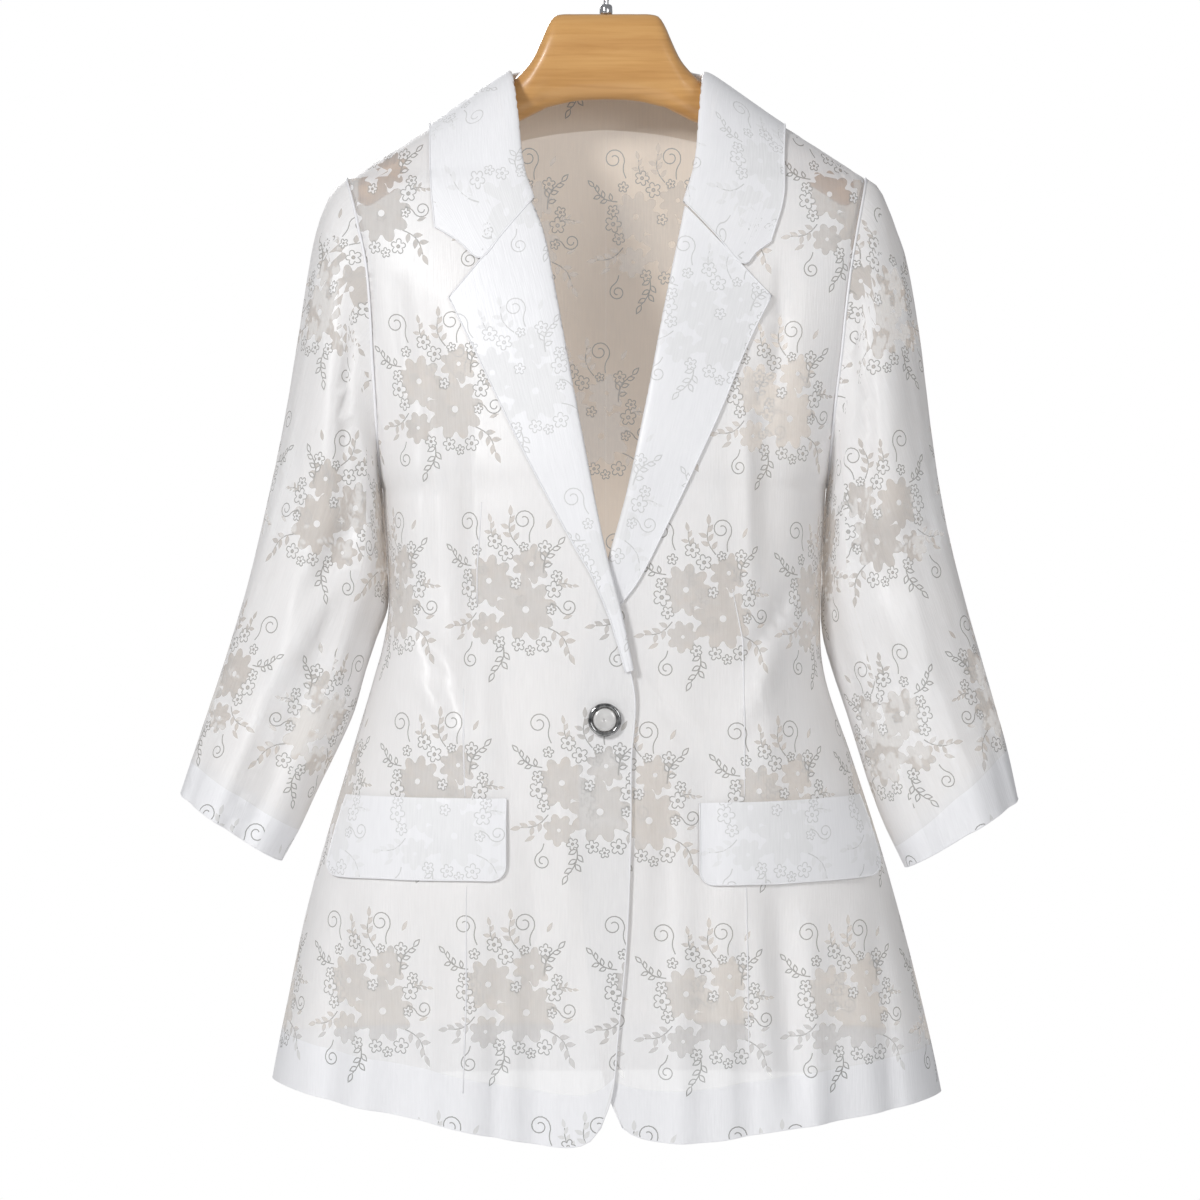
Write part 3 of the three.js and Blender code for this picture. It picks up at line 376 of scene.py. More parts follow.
def angle_at(side, across, drop):
    part = np.clip(across / half_width(side, drop), -1, 1)
    return np.arccos(signed_power(part, SECTION_POWER / 2))


def front_point(side, across, drop):
    return body_point(side, "front", angle_at(side, across, drop), drop)


def seat_point(side, across, level):
    """Point near the shoulder: level counts down from the ridge, below 0 in front."""
    drop = RIDGE_DROP + SHOULDER_SLOPE * across + np.abs(level)
    angle = angle_at(side, across, drop)
    ahead = body_point(side, "front", angle, drop, creased=False)
    behind = body_point(side, "back", angle, drop, creased=False)
    point = np.where((level < 0)[..., None], ahead, behind)
    near = np.abs(level) < SEAM
    point[..., 1] = np.where(near, edge_y("front", drop), point[..., 1])
    return point


def unit(vectors):
    return vectors / np.maximum(np.linalg.norm(vectors, axis=-1, keepdims=True), 1e-9)


def forward_normal(along, down):
    normal = unit(np.cross(along, down))
    return normal * np.where(normal[..., 1:2] > 0, -1, 1)


def raised_front(side, across, drop, high):
    """Point on the front moved out along its normal."""
    along = front_point(side, across + 1, drop) - front_point(side, across - 1, drop)
    down = front_point(side, across, drop + 1) - front_point(side, across, drop - 1)
    return front_point(side, across, drop) + forward_normal(along, down) * np.asarray(high)[..., None]


def raised_seat(side, across, level, high):
    step = 1.5
    along = seat_point(side, across + step, level) - seat_point(side, np.maximum(across - step, 0), level)
    down = seat_point(side, across, level + step) - seat_point(side, across, level - step)
    normal = unit(np.cross(along, down))
    lean = normal[..., 1] * np.sign(level) + normal[..., 2] * 0.5
    normal *= np.where(lean < 0, -1, 1)[..., None]
    return seat_point(side, across, level) + normal * np.asarray(high)[..., None]


def side_drop(share, hem):
    upper = SHOULDER_DROP + ARMHOLE_HEIGHT * (1 - np.cos(PI * np.minimum(share / UNDERARM_AT, 1))) / 2
    lower = lerp(UNDERARM_DROP, hem, (share - UNDERARM_AT) / (1 - UNDERARM_AT))
    return np.where(share > UNDERARM_AT, lower, upper)


def centre_drop(share, top, hem):
    lower = lerp(UNDERARM_DROP, hem, (share - UNDERARM_AT) / (1 - UNDERARM_AT))
    return np.where(share > UNDERARM_AT, lower, lerp(top, UNDERARM_DROP, share / UNDERARM_AT))


def blend_drop(u, v, top, hem, side, centre):
    corners = (1 - v) * lerp(top(0), top(1), u) + v * lerp(hem(0), hem(1), u)
    return lerp(top(u), hem(u), v) + lerp(side(v), centre(v), u) - corners


def front_place(side):
    """Function from two shares to the angle and drop of a place on a front."""
    edge, hem_at = by_side(FRONT_EDGE, side), by_side(HEM, side)
    corner = angle_at(side, edge(CORNER_DROP), CORNER_DROP)
    hem_width = half_width(side, CORNER_DROP)
    side_hem = hem_at(SIDE_SEAM_X)

    def place(u, v):
        down = v**ROWS_CLOSER_ABOVE
        drop = blend_drop(
            u,
            down,
            lambda t: lerp(SHOULDER_DROP, NECK_DROP, t),
            lambda t: hem_at(hem_width * signed_power(np.cos(t * corner), 2 / SECTION_POWER)),
            lambda t: side_drop(t, side_hem),
            lambda t: centre_drop(t, NECK_DROP, CORNER_DROP),
        )
        end = centre_drop(down, NECK_DROP, CORNER_DROP)
        return u * angle_at(side, edge(end), end), drop

    return place


def back_place(side):
    last = angle_at(side, SEAM / 2, UNDERARM_DROP)
    side_hem = by_side(HEM, side)(SIDE_SEAM_X)

    def neck_turn(u):
        return np.clip((u - BACK_NECK_AT) / (1 - BACK_NECK_AT), 0, 1)

    def top(u):
        seam = lerp(SHOULDER_DROP, NECK_DROP, np.minimum(u / BACK_NECK_AT, 1))
        return seam + (BACK_NECK_DROP - NECK_DROP) * neck_turn(u)

    def place(u, v):
        down = v**ROWS_CLOSER_ABOVE
        drop = blend_drop(
            u,
            down,
            top,
            lambda t: lerp(side_hem, BACK_HEM, smooth(t, 0, 0.35)),
            lambda t: side_drop(t, side_hem),
            lambda t: centre_drop(t, BACK_NECK_DROP, BACK_HEM),
        )
        spread = np.sqrt(np.minimum(down / UNDERARM_AT, 1))
        return lerp(last * neck_turn(u) ** 0.6, u * last, spread), drop

    return place


def sleeve_point(side, angle, row):
    sleeve = SLEEVE[side]
    inner = sleeve.innerX(row)
    body = half_width(side, sleeve.innerDrop(row)) + 0.3
    inner = lerp(inner, np.minimum(inner, body), smooth(row, 1, 3) * (1 - smooth(row, 7, 8.2)))
    part = (1 - np.cos(angle)) / 2
    drop = lerp(sleeve.outerDrop(row), sleeve.innerDrop(row), part)
    chord = lerp(sleeve.outerX(row), inner, part)
    bow = sleeve.bow(row)
    armhole_drop = SHOULDER_DROP + ARMHOLE_HEIGHT * part
    armhole_chord = lerp(sleeve.outerX(0), sleeve.innerX(0), part)
    curve = bow * (half_width(side, armhole_drop) + ARMHOLE_SEAM - armhole_chord)
    middle = -lerp(sleeve.ahead(row), SHOULDER_AHEAD * (1 - part), bow)
    reach = np.where(np.sin(angle) > 0, sleeve.front(row), sleeve.back(row))
    degrees = (np.degrees(angle) + 180) % 360 - 180
    sunk = (trough(SLEEVE_FOLDS, degrees, row) + CREASE_DEEP * trough(SLEEVE_CREASES, degrees, row)) / reach
    y = middle - reach * np.sin(angle) * (1 - sunk)
    centre = (sleeve.outerX(row) + inner) / 2
    x = centre + (chord + curve - centre) * (1 - sunk * 0.5 * np.abs(np.sin(angle)))
    return pack(side * x, y, -drop)


def shares(rows, columns):
    """Two grids of shares, u across and v down, each from 0 to 1."""
    v, u = np.meshgrid(np.linspace(0, 1, rows + 1), np.linspace(0, 1, columns + 1), indexing="ij")
    return u, v


def grid_normals(points, towards):
    """Unit normals of a grid of points, on the side that mostly faces towards or away from a point."""
    along = np.gradient(points, axis=1)
    down = np.gradient(points, axis=0)
    normal = unit(np.cross(along, down))
    outward = np.sum(normal * (points - towards), axis=-1).mean()
    return normal if outward > 0 else -normal


def arc(points, axis):
    """Running length along one axis of a grid of points, from its start."""
    steps = np.linalg.norm(np.diff(points, axis=axis), axis=-1)
    start = np.zeros_like(np.take(steps, [0], axis=axis))
    return np.concatenate([start, np.cumsum(steps, axis=axis)], axis=axis)


# The motif, charted in millimetres, with y up
GROUND, SHEER, THREAD = 0, 1, 2
KINDS = 3
LINE = 0.75
REPEAT_ACROSS, REPEAT_DOWN = 98.6, 132.6
# x, y, size and turn of each
CLUSTER = {
    "bloom": [[10, -12, 21, 10], [-15, 7, 17.5, 40], [14, 18, 13.5, 0], [-17, -24, 11, 5]],
    "spray": [[-24, -14, 20, 205], [25, -24, 22, -50], [5, 30, 20, 104], [-6, 30, 17, 116], [28, 2, 13, 8]],
    "twig": [[22, 12, 21, 62], [-6, -32, 22, -104], [-28, 17, 19, 148]],
    "star": [
        [-31, 2, 6.2, 0], [29, 1, 6, 20], [-3, 25, 5.6, 35], [22, -35, 5.6, 10], [-27, -8, 4.6, 50],
        [-11, 33, 5.4, 0], [5, -35, 4.8, 30], [23, 29, 4.8, 15], [-31, 11, 4.4, 60], [3, 5, 4.2, 0],
        [31, 10, 4.2, 40], [13, -39, 3.8, 25], [-24, 27, 4, 10], [-8, -33, 4.4, 45], [27, -12, 3.8, 5],
        [9, 29, 3.6, 30],
    ],
    "curl": [[-22, 33, 17, 96], [27, -8, 13, -38], [13, 32, 17, 78], [-27, -33, 13, 238]],
    "leaf": [[24, 41, 8, 60], [-33, -28, 8, 210], [35, -18, 7, 20]],
}


def turned(points, degrees, at=(0, 0)):
    c, s = math.cos(math.radians(degrees)), math.sin(math.radians(degrees))
    return points @ np.array([[c, s], [-s, c]]) + at


def petals(radius, count, deep, steps=7):
    """Closed outline of a flower whose petals are round at their ends."""
    angle = np.linspace(0, 2 * PI, count * steps, endpoint=False)
    r = radius * (1 - deep * (1 - np.abs(np.cos(count * angle / 2)) ** 0.7))
    return pack(r * np.cos(angle), r * np.sin(angle))


def leaf(length, wide):
    t = np.linspace(0, 1, 7)
    half = wide / 2 * np.sin(PI * t**0.85)
    return np.concatenate([pack(length * t, -half), pack(length * t, half)[-2:0:-1]])


def inset(points, by):
    along = np.roll(points, -1, axis=0) - np.roll(points, 1, axis=0)
    return points + unit(pack(-along[:, 1], along[:, 0])) * by


def outlined(points, inner):
    return [(THREAD, points), (inner, inset(points, LINE))]


def stem(path):
    along = unit(np.gradient(path, axis=0))
    aside = pack(along[:, 1], -along[:, 0]) * LINE / 2
    return [(THREAD, np.concatenate([path + aside, (path - aside)[::-1]]))]


def branch(length, leaves, leaf_size, leaf_wide, filled):
    """A bent stem with leaves on both sides and one at its end."""
    t = np.linspace(0, 1, 8)
    path = pack(length * t, length * 0.16 * np.sin(PI * t))
    shapes = stem(path)
    for k in range(leaves):
        part = 0.2 + 0.72 * k / leaves
        root = np.array([np.interp(part, t, path[:, 0]), np.interp(part, t, path[:, 1])])
        one = turned(leaf(leaf_size, leaf_wide), 52 if k % 2 else -48, root)
        shapes += [(SHEER, one)] if filled else outlined(one, GROUND)
    last = turned(leaf(leaf_size * 1.15, leaf_wide), -14, path[-1])
    return shapes + ([(SHEER, last)] if filled else outlined(last, GROUND))


def draw(kind, size):
    """Polygons of one motif about its own origin, each with what it is made of. Later ones lie on top."""
    if kind == "bloom":
        dot = petals(size * 0.11, 8, 0)
        return [(SHEER, petals(size, 9 if size > 13 else 7, 0.44)), (GROUND, dot)]
    if kind == "star":
        flower = petals(size, 5, 0.42, 6)
        return outlined(flower, GROUND) + outlined(petals(size * 0.27, 6, 0, 1), SHEER)
    if kind == "spray":
        return branch(size, 5, size * 0.33, size * 0.16, True)
    if kind == "twig":
        return branch(size, 5, size * 0.3, size * 0.17, False)
    if kind == "leaf":
        return [(SHEER, leaf(size, size * 0.36))]
    t = np.linspace(0, 1, 22)
    angle = 1.5 * PI + t * 2.7 * PI
    reach = size * 0.42 * (1 - 0.72 * t)
    spiral = pack(reach * np.cos(angle) + size * 0.8, reach[0] + reach * np.sin(angle))
    tail = pack(np.linspace(0, size * 0.66, 6), size * 0.08 * np.sin(np.linspace(0, PI, 6)))
    return stem(np.concatenate([tail, spiral]))


SHAPES = [
    (made, turned(outline, turn, (x, y)))
    for kind, rows in CLUSTER.items()
    for x, y, size, turn in rows
    for made, outline in draw(kind, size)
]


def motifs(low, high, shift):
    """The motifs that may touch a flat piece between two corners, in their order of laying."""
    found = []
    lowest = math.floor((low[1] - shift[1]) / REPEAT_DOWN) - 1
    for up in range(lowest, math.ceil((high[1] - shift[1]) / REPEAT_DOWN) + 2):
        start = shift[0] + up * REPEAT_ACROSS / 2
        first = math.floor((low[0] - start) / REPEAT_ACROSS) - 1
        for across in range(first, math.ceil((high[0] - start) / REPEAT_ACROSS) + 2):
            at = np.array([start + across * REPEAT_ACROSS, shift[1] + up * REPEAT_DOWN])
            for made, outline in SHAPES:
                moved = outline + at
                if (moved.max(axis=0) > low).all() and (moved.min(axis=0) < high).all():
                    found.append((made, moved))
    return found


def enclosed(points, ring):
    """Which points lie inside a closed ring."""
    inside = np.zeros(len(points), bool)
    for a, b in zip(ring, np.roll(ring, -1, axis=0)):
        crosses = (a[1] > points[:, 1]) != (b[1] > points[:, 1])
        at = a[0] + (points[:, 1] - a[1]) / (b[1] - a[1] + 1e-12) * (b[0] - a[0])
        inside ^= crosses & (points[:, 0] < at)
    return inside


def new_object(name, mesh, materials):
    for one in materials:
        mesh.materials.append(one)
    made = bpy.data.objects.new(name, mesh)
    bpy.context.scene.collection.objects.link(made)
    mesh.polygons.foreach_set("use_smooth", np.ones(len(mesh.polygons), bool))
    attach(made, "root")
    return made


def set_flat_uv(mesh, flat):
    """Gives the mesh its places on the flat cloth, in metres, as its UVs."""
    layer = mesh.uv_layers.new(name="flat")
    corners = np.empty(len(mesh.loops), np.int32)
    mesh.loops.foreach_get("vertex_index", corners)
    layer.data.foreach_set("uv", (flat[corners] * MM).astype(np.float32).ravel())


def grid_faces(rows, columns):
    i, j = np.meshgrid(np.arange(rows - 1), np.arange(columns - 1), indexing="ij")
    a = (i * columns + j).ravel()
    return np.stack([a, a + 1, a + columns + 1, a + columns], axis=-1)


FILL_STEP = 7
MERGE = 0.02
# Faces with an edge that is longer or shorter than on the flat cloth by this factor show no motif
STRETCH_LIMIT, STRETCH_SLACK = 1.4, 0.2


def twice_area(ring):
    """Twice the area in a closed flat ring, above 0 where it runs anticlockwise."""
    return np.sum(ring[:, 0] * np.roll(ring[:, 1], -1) - np.roll(ring[:, 0], -1) * ring[:, 1])


def cloth(name, points, normals, flat, materials, shift, roll=None, hem=None):
    """A piece of cloth with its motifs cut into the mesh, each face made of ground, sheer or thread.

    roll is the columns of the grid where the cloth bends tightly, which get finer faces. hem is the flat
    outline of a band that lies double, whose faces take the second three of the materials.
    """
    rows, columns = points.shape[:2]
    ring = np.concatenate([flat[0], flat[1:, -1], flat[-1, -2::-1], flat[-2:0:-1, 0]])
    area = twice_area(ring) / 2
    ring = ring if area > 0 else ring[::-1]
    low, high = ring.min(axis=0), ring.max(axis=0)
    shapes = motifs(low, high, shift)
    spans = [np.arange(low[k], high[k], FILL_STEP) for k in (0, 1)]
    fill = pack(*np.meshgrid(*spans)).reshape(-1, 2)
    fill = fill[enclosed(fill, ring)]
    if roll:
        fill = np.concatenate([fill, flat[1:-1, slice(*roll)].reshape(-1, 2)])
    lists = [ring] + [outline for _, outline in shapes] + ([] if hem is None else [hem])
    starts = np.cumsum([0] + [len(one) for one in lists])
    faces = [list(range(starts[k], starts[k + 1])) for k in range(len(lists))]
    spots = [Vector(spot) for spot in np.concatenate(lists + [fill])]
    spots, _, faces, _, _, origins = delaunay_2d_cdt(spots, [], faces, 1, MERGE, True)
    kept = [(face, origin) for face, origin in zip(faces, origins) if 0 in origin]
    kind = [0] + [made for made, _ in shapes]
    band = len(shapes) + 1
    made_of = [kind[max(set(origin) - {band})] + (KINDS if band in origin else 0) for _, origin in kept]
    used = sorted({corner for face, _ in kept for corner in face})
    number = {corner: k for k, corner in enumerate(used)}
    spots = np.array([spots[corner] for corner in used])
    faces = [[number[corner] for corner in face] for face, _ in kept]

    quads = grid_faces(rows, columns)
    triangles = np.concatenate([quads[:, [0, 1, 2]], quads[:, [0, 2, 3]]])
    plane = flat.reshape(-1, 2)
    corners3 = [(x, y, 0) for x, y in plane]
    tree = BVHTree.FromPolygons(corners3, triangles.tolist())
    hits = np.array([tree.find_nearest((x, y, 0))[2] for x, y in spots])
    a, b, c = (plane[triangles[hits, k]] for k in range(3))
    whole = np.cross(b - a, c - a)
    w1 = np.cross(spots - a, c - a) / whole
    w2 = np.cross(b - a, spots - a) / whole
    weights = np.clip(np.stack([1 - w1 - w2, w1, w2], axis=-1), 0, 1)[..., None]
    weights /= weights.sum(axis=1, keepdims=True)
    where = (points.reshape(-1, 3)[triangles[hits]] * weights).sum(axis=1)
    facing = unit((normals.reshape(-1, 3)[triangles[hits]] * weights).sum(axis=1))

    corners = where[np.array(faces)]
    across = np.cross(corners[:, 1] - corners[:, 0], corners[:, 2] - corners[:, 0])
    on_flat = spots[np.array(faces)]
    long = np.linalg.norm(corners - np.roll(corners, 1, axis=1), axis=-1)
    cut = np.linalg.norm(on_flat - np.roll(on_flat, 1, axis=1), axis=-1)
    longer, shorter = (one > STRETCH_LIMIT * two + STRETCH_SLACK for one, two in ((long, cut), (cut, long)))
    made_of = np.where(np.any(longer | shorter, axis=1), np.array(made_of) // KINDS * KINDS, made_of)
    outward = np.sum(across * facing[np.array(faces)].sum(axis=1), axis=-1)
    faces = [face if side > 0 else face[::-1] for face, side in zip(faces, outward)]
    mesh = bpy.data.meshes.new(name)
    mesh.from_pydata(where * MM, [], faces)
    made = new_object(name, mesh, materials)
    mesh.polygons.foreach_set("material_index", np.array(made_of, np.int32))
    set_flat_uv(mesh, spots)
    mesh.normals_split_custom_set_from_vertices(facing)
    made["cut"] = [float(high[0] - low[0]) * MM, float(high[1] - low[1]) * MM, abs(float(area)) * MM * MM]
    return made


def plain_cloth(name, points, flat, finish):
    """A piece of cloth without motifs, such as a hem turned up inside."""
    rows, columns = points.shape[:2]
    mesh = bpy.data.meshes.new(name)
    mesh.from_pydata(points.reshape(-1, 3) * MM, [], grid_faces(rows, columns).tolist())
    made = new_object(name, mesh, [finish])
    set_flat_uv(mesh, flat.reshape(-1, 2))
    return made


def skinned(name, rings, finish, closed=False):
    """A mesh over a row of closed rings, with a face at each end unless the row closes on itself."""
    count, sides = rings.shape[:2]
    faces = []
    for i in range(count if closed else count - 1):
        here, there = i * sides, (i + 1) % count * sides
        for j in range(sides):
            near = (j + 1) % sides
            faces.append([here + j, here + near, there + near, there + j])
    if not closed:
        faces += [list(range(sides))[::-1], [(count - 1) * sides + j for j in range(sides)]]
    mesh = bpy.data.meshes.new(name)
    mesh.from_pydata(rings.reshape(-1, 3) * MM, [], faces)
    return new_object(name, mesh, [finish])


def tube(name, path, radius, finish, sides=6):
    """A thin roll along a path, such as a folded edge or a seam."""
    along = unit(np.gradient(path, axis=0))
    aside = unit(np.cross(along, [0.13, 0.21, 1]))
    over = np.cross(along, aside)
    angle = np.linspace(0, 2 * PI, sides, endpoint=False)
    ring = aside[:, None] * np.cos(angle)[:, None] + over[:, None] * np.sin(angle)[:, None]
    return skinned(name, path[:, None] + ring * np.reshape(radius, (-1, 1, 1)), finish)


# Finishes
def shader_of(name, roughness, **sockets):
    made = bpy.data.materials.new(name)
    made.use_nodes = True
    shader = made.node_tree.nodes["Principled BSDF"]
    shader.inputs["Roughness"].default_value = roughness
    for socket, value in sockets.items():
        shader.inputs[socket.replace("_", " ")].default_value = value
    return made, made.node_tree.nodes, made.node_tree.links, shader


def textured(nodes, links, scale, detail, source="UV"):
    """A noise texture stretched by scale, in the coordinates named."""
    place = nodes.new("ShaderNodeTexCoord")
    mapping = nodes.new("ShaderNodeMapping")
    mapping.inputs["Scale"].default_value = scale
    noise = nodes.new("ShaderNodeTexNoise")
    noise.inputs["Scale"].default_value = 1
    noise.inputs["Detail"].default_value = detail
    links.new(place.outputs[source], mapping.inputs["Vector"])
    links.new(mapping.outputs["Vector"], noise.inputs["Vector"])
    return noise


def ramp(nodes, links, source, stops):
    made = nodes.new("ShaderNodeValToRGB")
    for k, (at, colour) in enumerate(stops):
        stop = made.color_ramp.elements[k] if k < 2 else made.color_ramp.elements.new(at)
        stop.position = at
        stop.color = (*colour, 1)
    links.new(source, made.inputs["Fac"])
    return made


def bumped(nodes, links, shader, height, distance, strength=1):
    bump = nodes.new("ShaderNodeBump")
    bump.inputs["Distance"].default_value = distance
    bump.inputs["Strength"].default_value = strength
    links.new(height, bump.inputs["Height"])
    links.new(bump.outputs["Normal"], shader.inputs["Normal"])


def multiplied(nodes, links, one, other, share=1):
    """Colour of one socket darkened by another, which may be a share."""
    mix = nodes.new("ShaderNodeMix")
    mix.data_type, mix.blend_type = "RGBA", "MULTIPLY"
    if isinstance(share, (int, float)):
        mix.inputs[0].default_value = share
    else:
        links.new(share, mix.inputs[0])
    links.new(one, mix.inputs[6])
    if isinstance(other, tuple):
        mix.inputs[7].default_value = (*other, 1)
    else:
        links.new(other, mix.inputs[7])
    return mix.outputs[2]


def cloth_finish(name, light, dark, roughness, alpha, sheen, reverse_shade=None):
    """Fine cloth, whose inner face may be tinted warm as painted shade for the inside of the garment. Slubs
    along the warp vary its colour and lift its surface.
    """
    sockets = {"Alpha": alpha, "Sheen_Weight": sheen, "Sheen_Roughness": 0.4}
    made, nodes, links, shader = shader_of(name, roughness, **sockets)
    slubs = textured(nodes, links, (900, 60, 1), 2)
    colour = ramp(nodes, links, slubs.outputs["Fac"], [(0.3, dark), (0.7, light)])
    base = colour.outputs["Color"]
    if reverse_shade:
        # The inner face's colour is multiplied by a warm painted shade
        side = nodes.new("ShaderNodeNewGeometry")
        base = multiplied(nodes, links, base, reverse_shade, side.outputs["Backfacing"])
    links.new(base, shader.inputs["Base Color"])
    bumped(nodes, links, shader, slubs.outputs["Fac"], 0.0003, 0.5)
    return made


# Warm painted shade for the inside of the garment, multiplied into the colour of each cloth's inner face
WARM_INSIDE_SHADE = (1, 0.87, 0.72)
SATIN = cloth_finish("satin_ground", (0.91, 0.905, 0.91), (0.87, 0.865, 0.87), 0.4, 0.87, 0.25, WARM_INSIDE_SHADE)
SHEER_CLOTH = cloth_finish("sheer_motif", (0.84, 0.835, 0.83), (0.76, 0.755, 0.75), 0.6, 0.5, 0.1, WARM_INSIDE_SHADE)
THREADS = cloth_finish("motif_outline", (0.42, 0.42, 0.41), (0.34, 0.34, 0.33), 0.6, 0.85, 0.1)
DOUBLE = cloth_finish("double_cloth", (0.92, 0.92, 0.94), (0.88, 0.88, 0.9), 0.42, 0.96, 0.3)
DOUBLE_SHEER = cloth_finish("double_motif", (0.86, 0.86, 0.87), (0.81, 0.81, 0.82), 0.55, 0.98, 0.2)
DOUBLE_THREADS = cloth_finish("double_outline", (0.7, 0.7, 0.7), (0.62, 0.62, 0.62), 0.6, 1.0, 0.1)
BACK_SATIN = cloth_finish("back_ground", (0.95, 0.95, 0.955), (0.91, 0.91, 0.92), 0.5, 0.8, 0.2, WARM_INSIDE_SHADE)
# The back's sheer motif is taupe: painted shade, for the shaded inside that shows through it
BACK_SHEER_PAINTED_SHADE = cloth_finish("back_motif_painted_shade", (0.72, 0.69, 0.66), (0.64, 0.61, 0.58), 0.6, 0.7, 0.1, WARM_INSIDE_SHADE)
HEM_SHEER = cloth_finish("hem_motif", (0.86, 0.855, 0.85), (0.8, 0.795, 0.79), 0.55, 0.85, 0.1)
SINGLE = [SATIN, SHEER_CLOTH, THREADS]
HEMMED = [DOUBLE, HEM_SHEER, THREADS]
BACKS = [BACK_SATIN, BACK_SHEER_PAINTED_SHADE, THREADS]
DOUBLED = [DOUBLE, DOUBLE_SHEER, DOUBLE_THREADS]


def flat_of(side, face, angle, drop):
    """Place on the flat cloth of a place on the body: length round from the centre, and height."""
    part = np.linspace(0, 1, 20)
    angles = lerp(PI / 2, angle[..., None], part)
    path = body_point(side, face, angles, np.broadcast_to(drop[..., None], angles.shape), creased=False)
    length = np.linalg.norm(np.diff(path, axis=-2), axis=-1).sum(axis=-1)
    return pack(side * length * np.sign(PI / 2 - angle), -drop)


def measured(points, middle):
    """Place on the flat cloth of a grid of points, by lengths along its rows and its middle column."""
    across = arc(points, 1)
    column = int(middle * (points.shape[1] - 1))
    down = arc(points, 0)[:, column : column + 1]
    return pack(across - across[:, column : column + 1], down[-1] / 2 - down)


def unrolled(points, middle, axis):
    """Place on the flat cloth of a grid of points that bends round an axis, which runs down the cloth.

    Each row is laid out from its middle column, which keeps the sideways run that it has on the surface.
    """
    axis = unit(np.array(axis, float))
    along = points @ axis
    level = points - along[..., None] * axis
    across = arc(level, 1)
    column = int(middle * (points.shape[1] - 1))
    sideways = unit(np.gradient(level, axis=1)[:, column])
    steps = np.sum(np.diff(level[:, column], axis=0) * (sideways[1:] + sideways[:-1]) / 2, axis=-1)
    drift = np.concatenate([[0], np.cumsum(steps)])[:, None]
    return pack(across - across[:, column : column + 1] + drift, along.max() - along)


def joined(upper, lower, first, last):
    """One flat layout from two of the same grid.

    The first is turned to fit the second between two rows. It gives the rows above, and the second gives
    the rows below.
    """
    one, other = (layout[first:last].reshape(-1, 2) for layout in (upper, lower))
    both = (one - one.mean(axis=0)).T @ (other - other.mean(axis=0))
    turn = math.degrees(math.atan2(both[0, 1] - both[1, 0], both[0, 0] + both[1, 1]))
    fitted = turned(upper - one.mean(axis=0), turn, other.mean(axis=0))
    return lerp(fitted, lower, smooth(np.arange(len(upper)), first, last)[:, None, None])


def stand_for(made, node):
    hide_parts(node)


def declare(made, node, parts):
    """States a piece as the node's, by hiding the node's solid."""
    stand_for(made, node)


# Where a cluster's centre lies on each piece, in millimetres on the flat cloth
SHIFTS = {
    "front_right": (-162, -716), "front_left": (166, -722),
    "back_right": (36, -197), "back_left": (36, -197),
}


def hem_outline(upper, lower):
    """Closed outline of a hem band from its two long edges on the flat cloth, anticlockwise."""
    ring = np.concatenate([upper, lower[::-1]])
    return ring if twice_area(ring) > 0 else ring[::-1]


def body_piece(side, face):
    place = front_place(side) if face == "front" else back_place(side)
    u, v = shares(*BODY_GRID)
    angle, drop = place(u, v)
    points = body_point(side, face, angle, drop)
    flat = flat_of(side, face, angle, drop)
    middle = points * [0, 0, 1] + [side * 60, 0, 0]
    normals = grid_normals(points, middle)
    name = f"{face}_{WORD[side]}"
    u, v = shares(BODY_HEM_ROWS, BODY_GRID[1])
    angle, drop = place(u, lerp(HEM_FROM, 1, v))
    band = body_point(side, face, angle, drop)
    band_flat = flat_of(side, face, angle, drop)
    outline = hem_outline(band_flat[0], band_flat[-1])
    finishes = (SINGLE if face == "front" else BACKS) + HEMMED
    made = cloth(f"{name}_cloth", points, normals, flat, finishes, SHIFTS[name], hem=outline)
    turned_up = band - grid_normals(band, middle[-1 - BODY_HEM_ROWS:]) * HEM_INSIDE
    inside = points - normals * FOLD_INSIDE
    extra = [
        plain_cloth(f"{name}_hem", turned_up, band_flat, DOUBLE),
        tube(f"{name}_hem_fold", inside[-1], FOLD_R, DOUBLE),
    ]
    if face == "front":
        extra.append(tube(f"{name}_edge_fold", inside[FRONT_EDGE_ROW:, -1], FRONT_FOLD_R, DOUBLE))
    declare(made, name, extra)


for side in (RIGHT, LEFT):
    for face in ("front", "back"):
        body_piece(side, face)


def sleeve_piece(side, part):
    low, high = (BACK_SEAM, FRONT_SEAM) if part == "upper" else (FRONT_SEAM, BACK_SEAM + 360)
    gap = math.degrees(SEAM / 2 / SLEEVE_R)
    u, v = shares(SLEEVE_ROWS, SLEEVE_COLUMNS[part])
    angle = np.radians(lerp(low + gap, high - gap, u))
    row = v**1.1 * LAST_RING
    points = sleeve_point(side, angle, row)
    around = sleeve_point(side, np.radians(np.linspace(0, 360, 24))[None, :], row[:, :1])
    normals = grid_normals(points, around.mean(axis=1, keepdims=True))
    middle = 0.62 if part == "upper" else 0.5
    flat = unrolled(points, middle, np.array(SLEEVE_AXIS) * [side, 1, 1]) * [side, 1]
    if part == "upper":
        cap = unrolled(points, 0.5, np.array(CAP_AXIS) * [side, 1, 1]) * [side, 1]
        flat = joined(cap, flat, *CAP_ROWS)
    name = f"sleeve_{WORD[side]}_{part}"
    shift = (side * 20, 96 if side == RIGHT else 88)
    hem = slice(-SLEEVE_HEM_ROWS, None)
    outline = hem_outline(flat[-SLEEVE_HEM_ROWS], flat[-1])
    made = cloth(f"{name}_cloth", points, normals, flat, SINGLE + HEMMED, shift, hem=outline)
    declare(made, name, [
        plain_cloth(f"{name}_hem", points[hem] - normals[hem] * HEM_INSIDE, flat[hem], DOUBLE),
        tube(f"{name}_hem_fold", points[-1] - normals[-1] * FOLD_INSIDE, FOLD_R, DOUBLE),
    ])


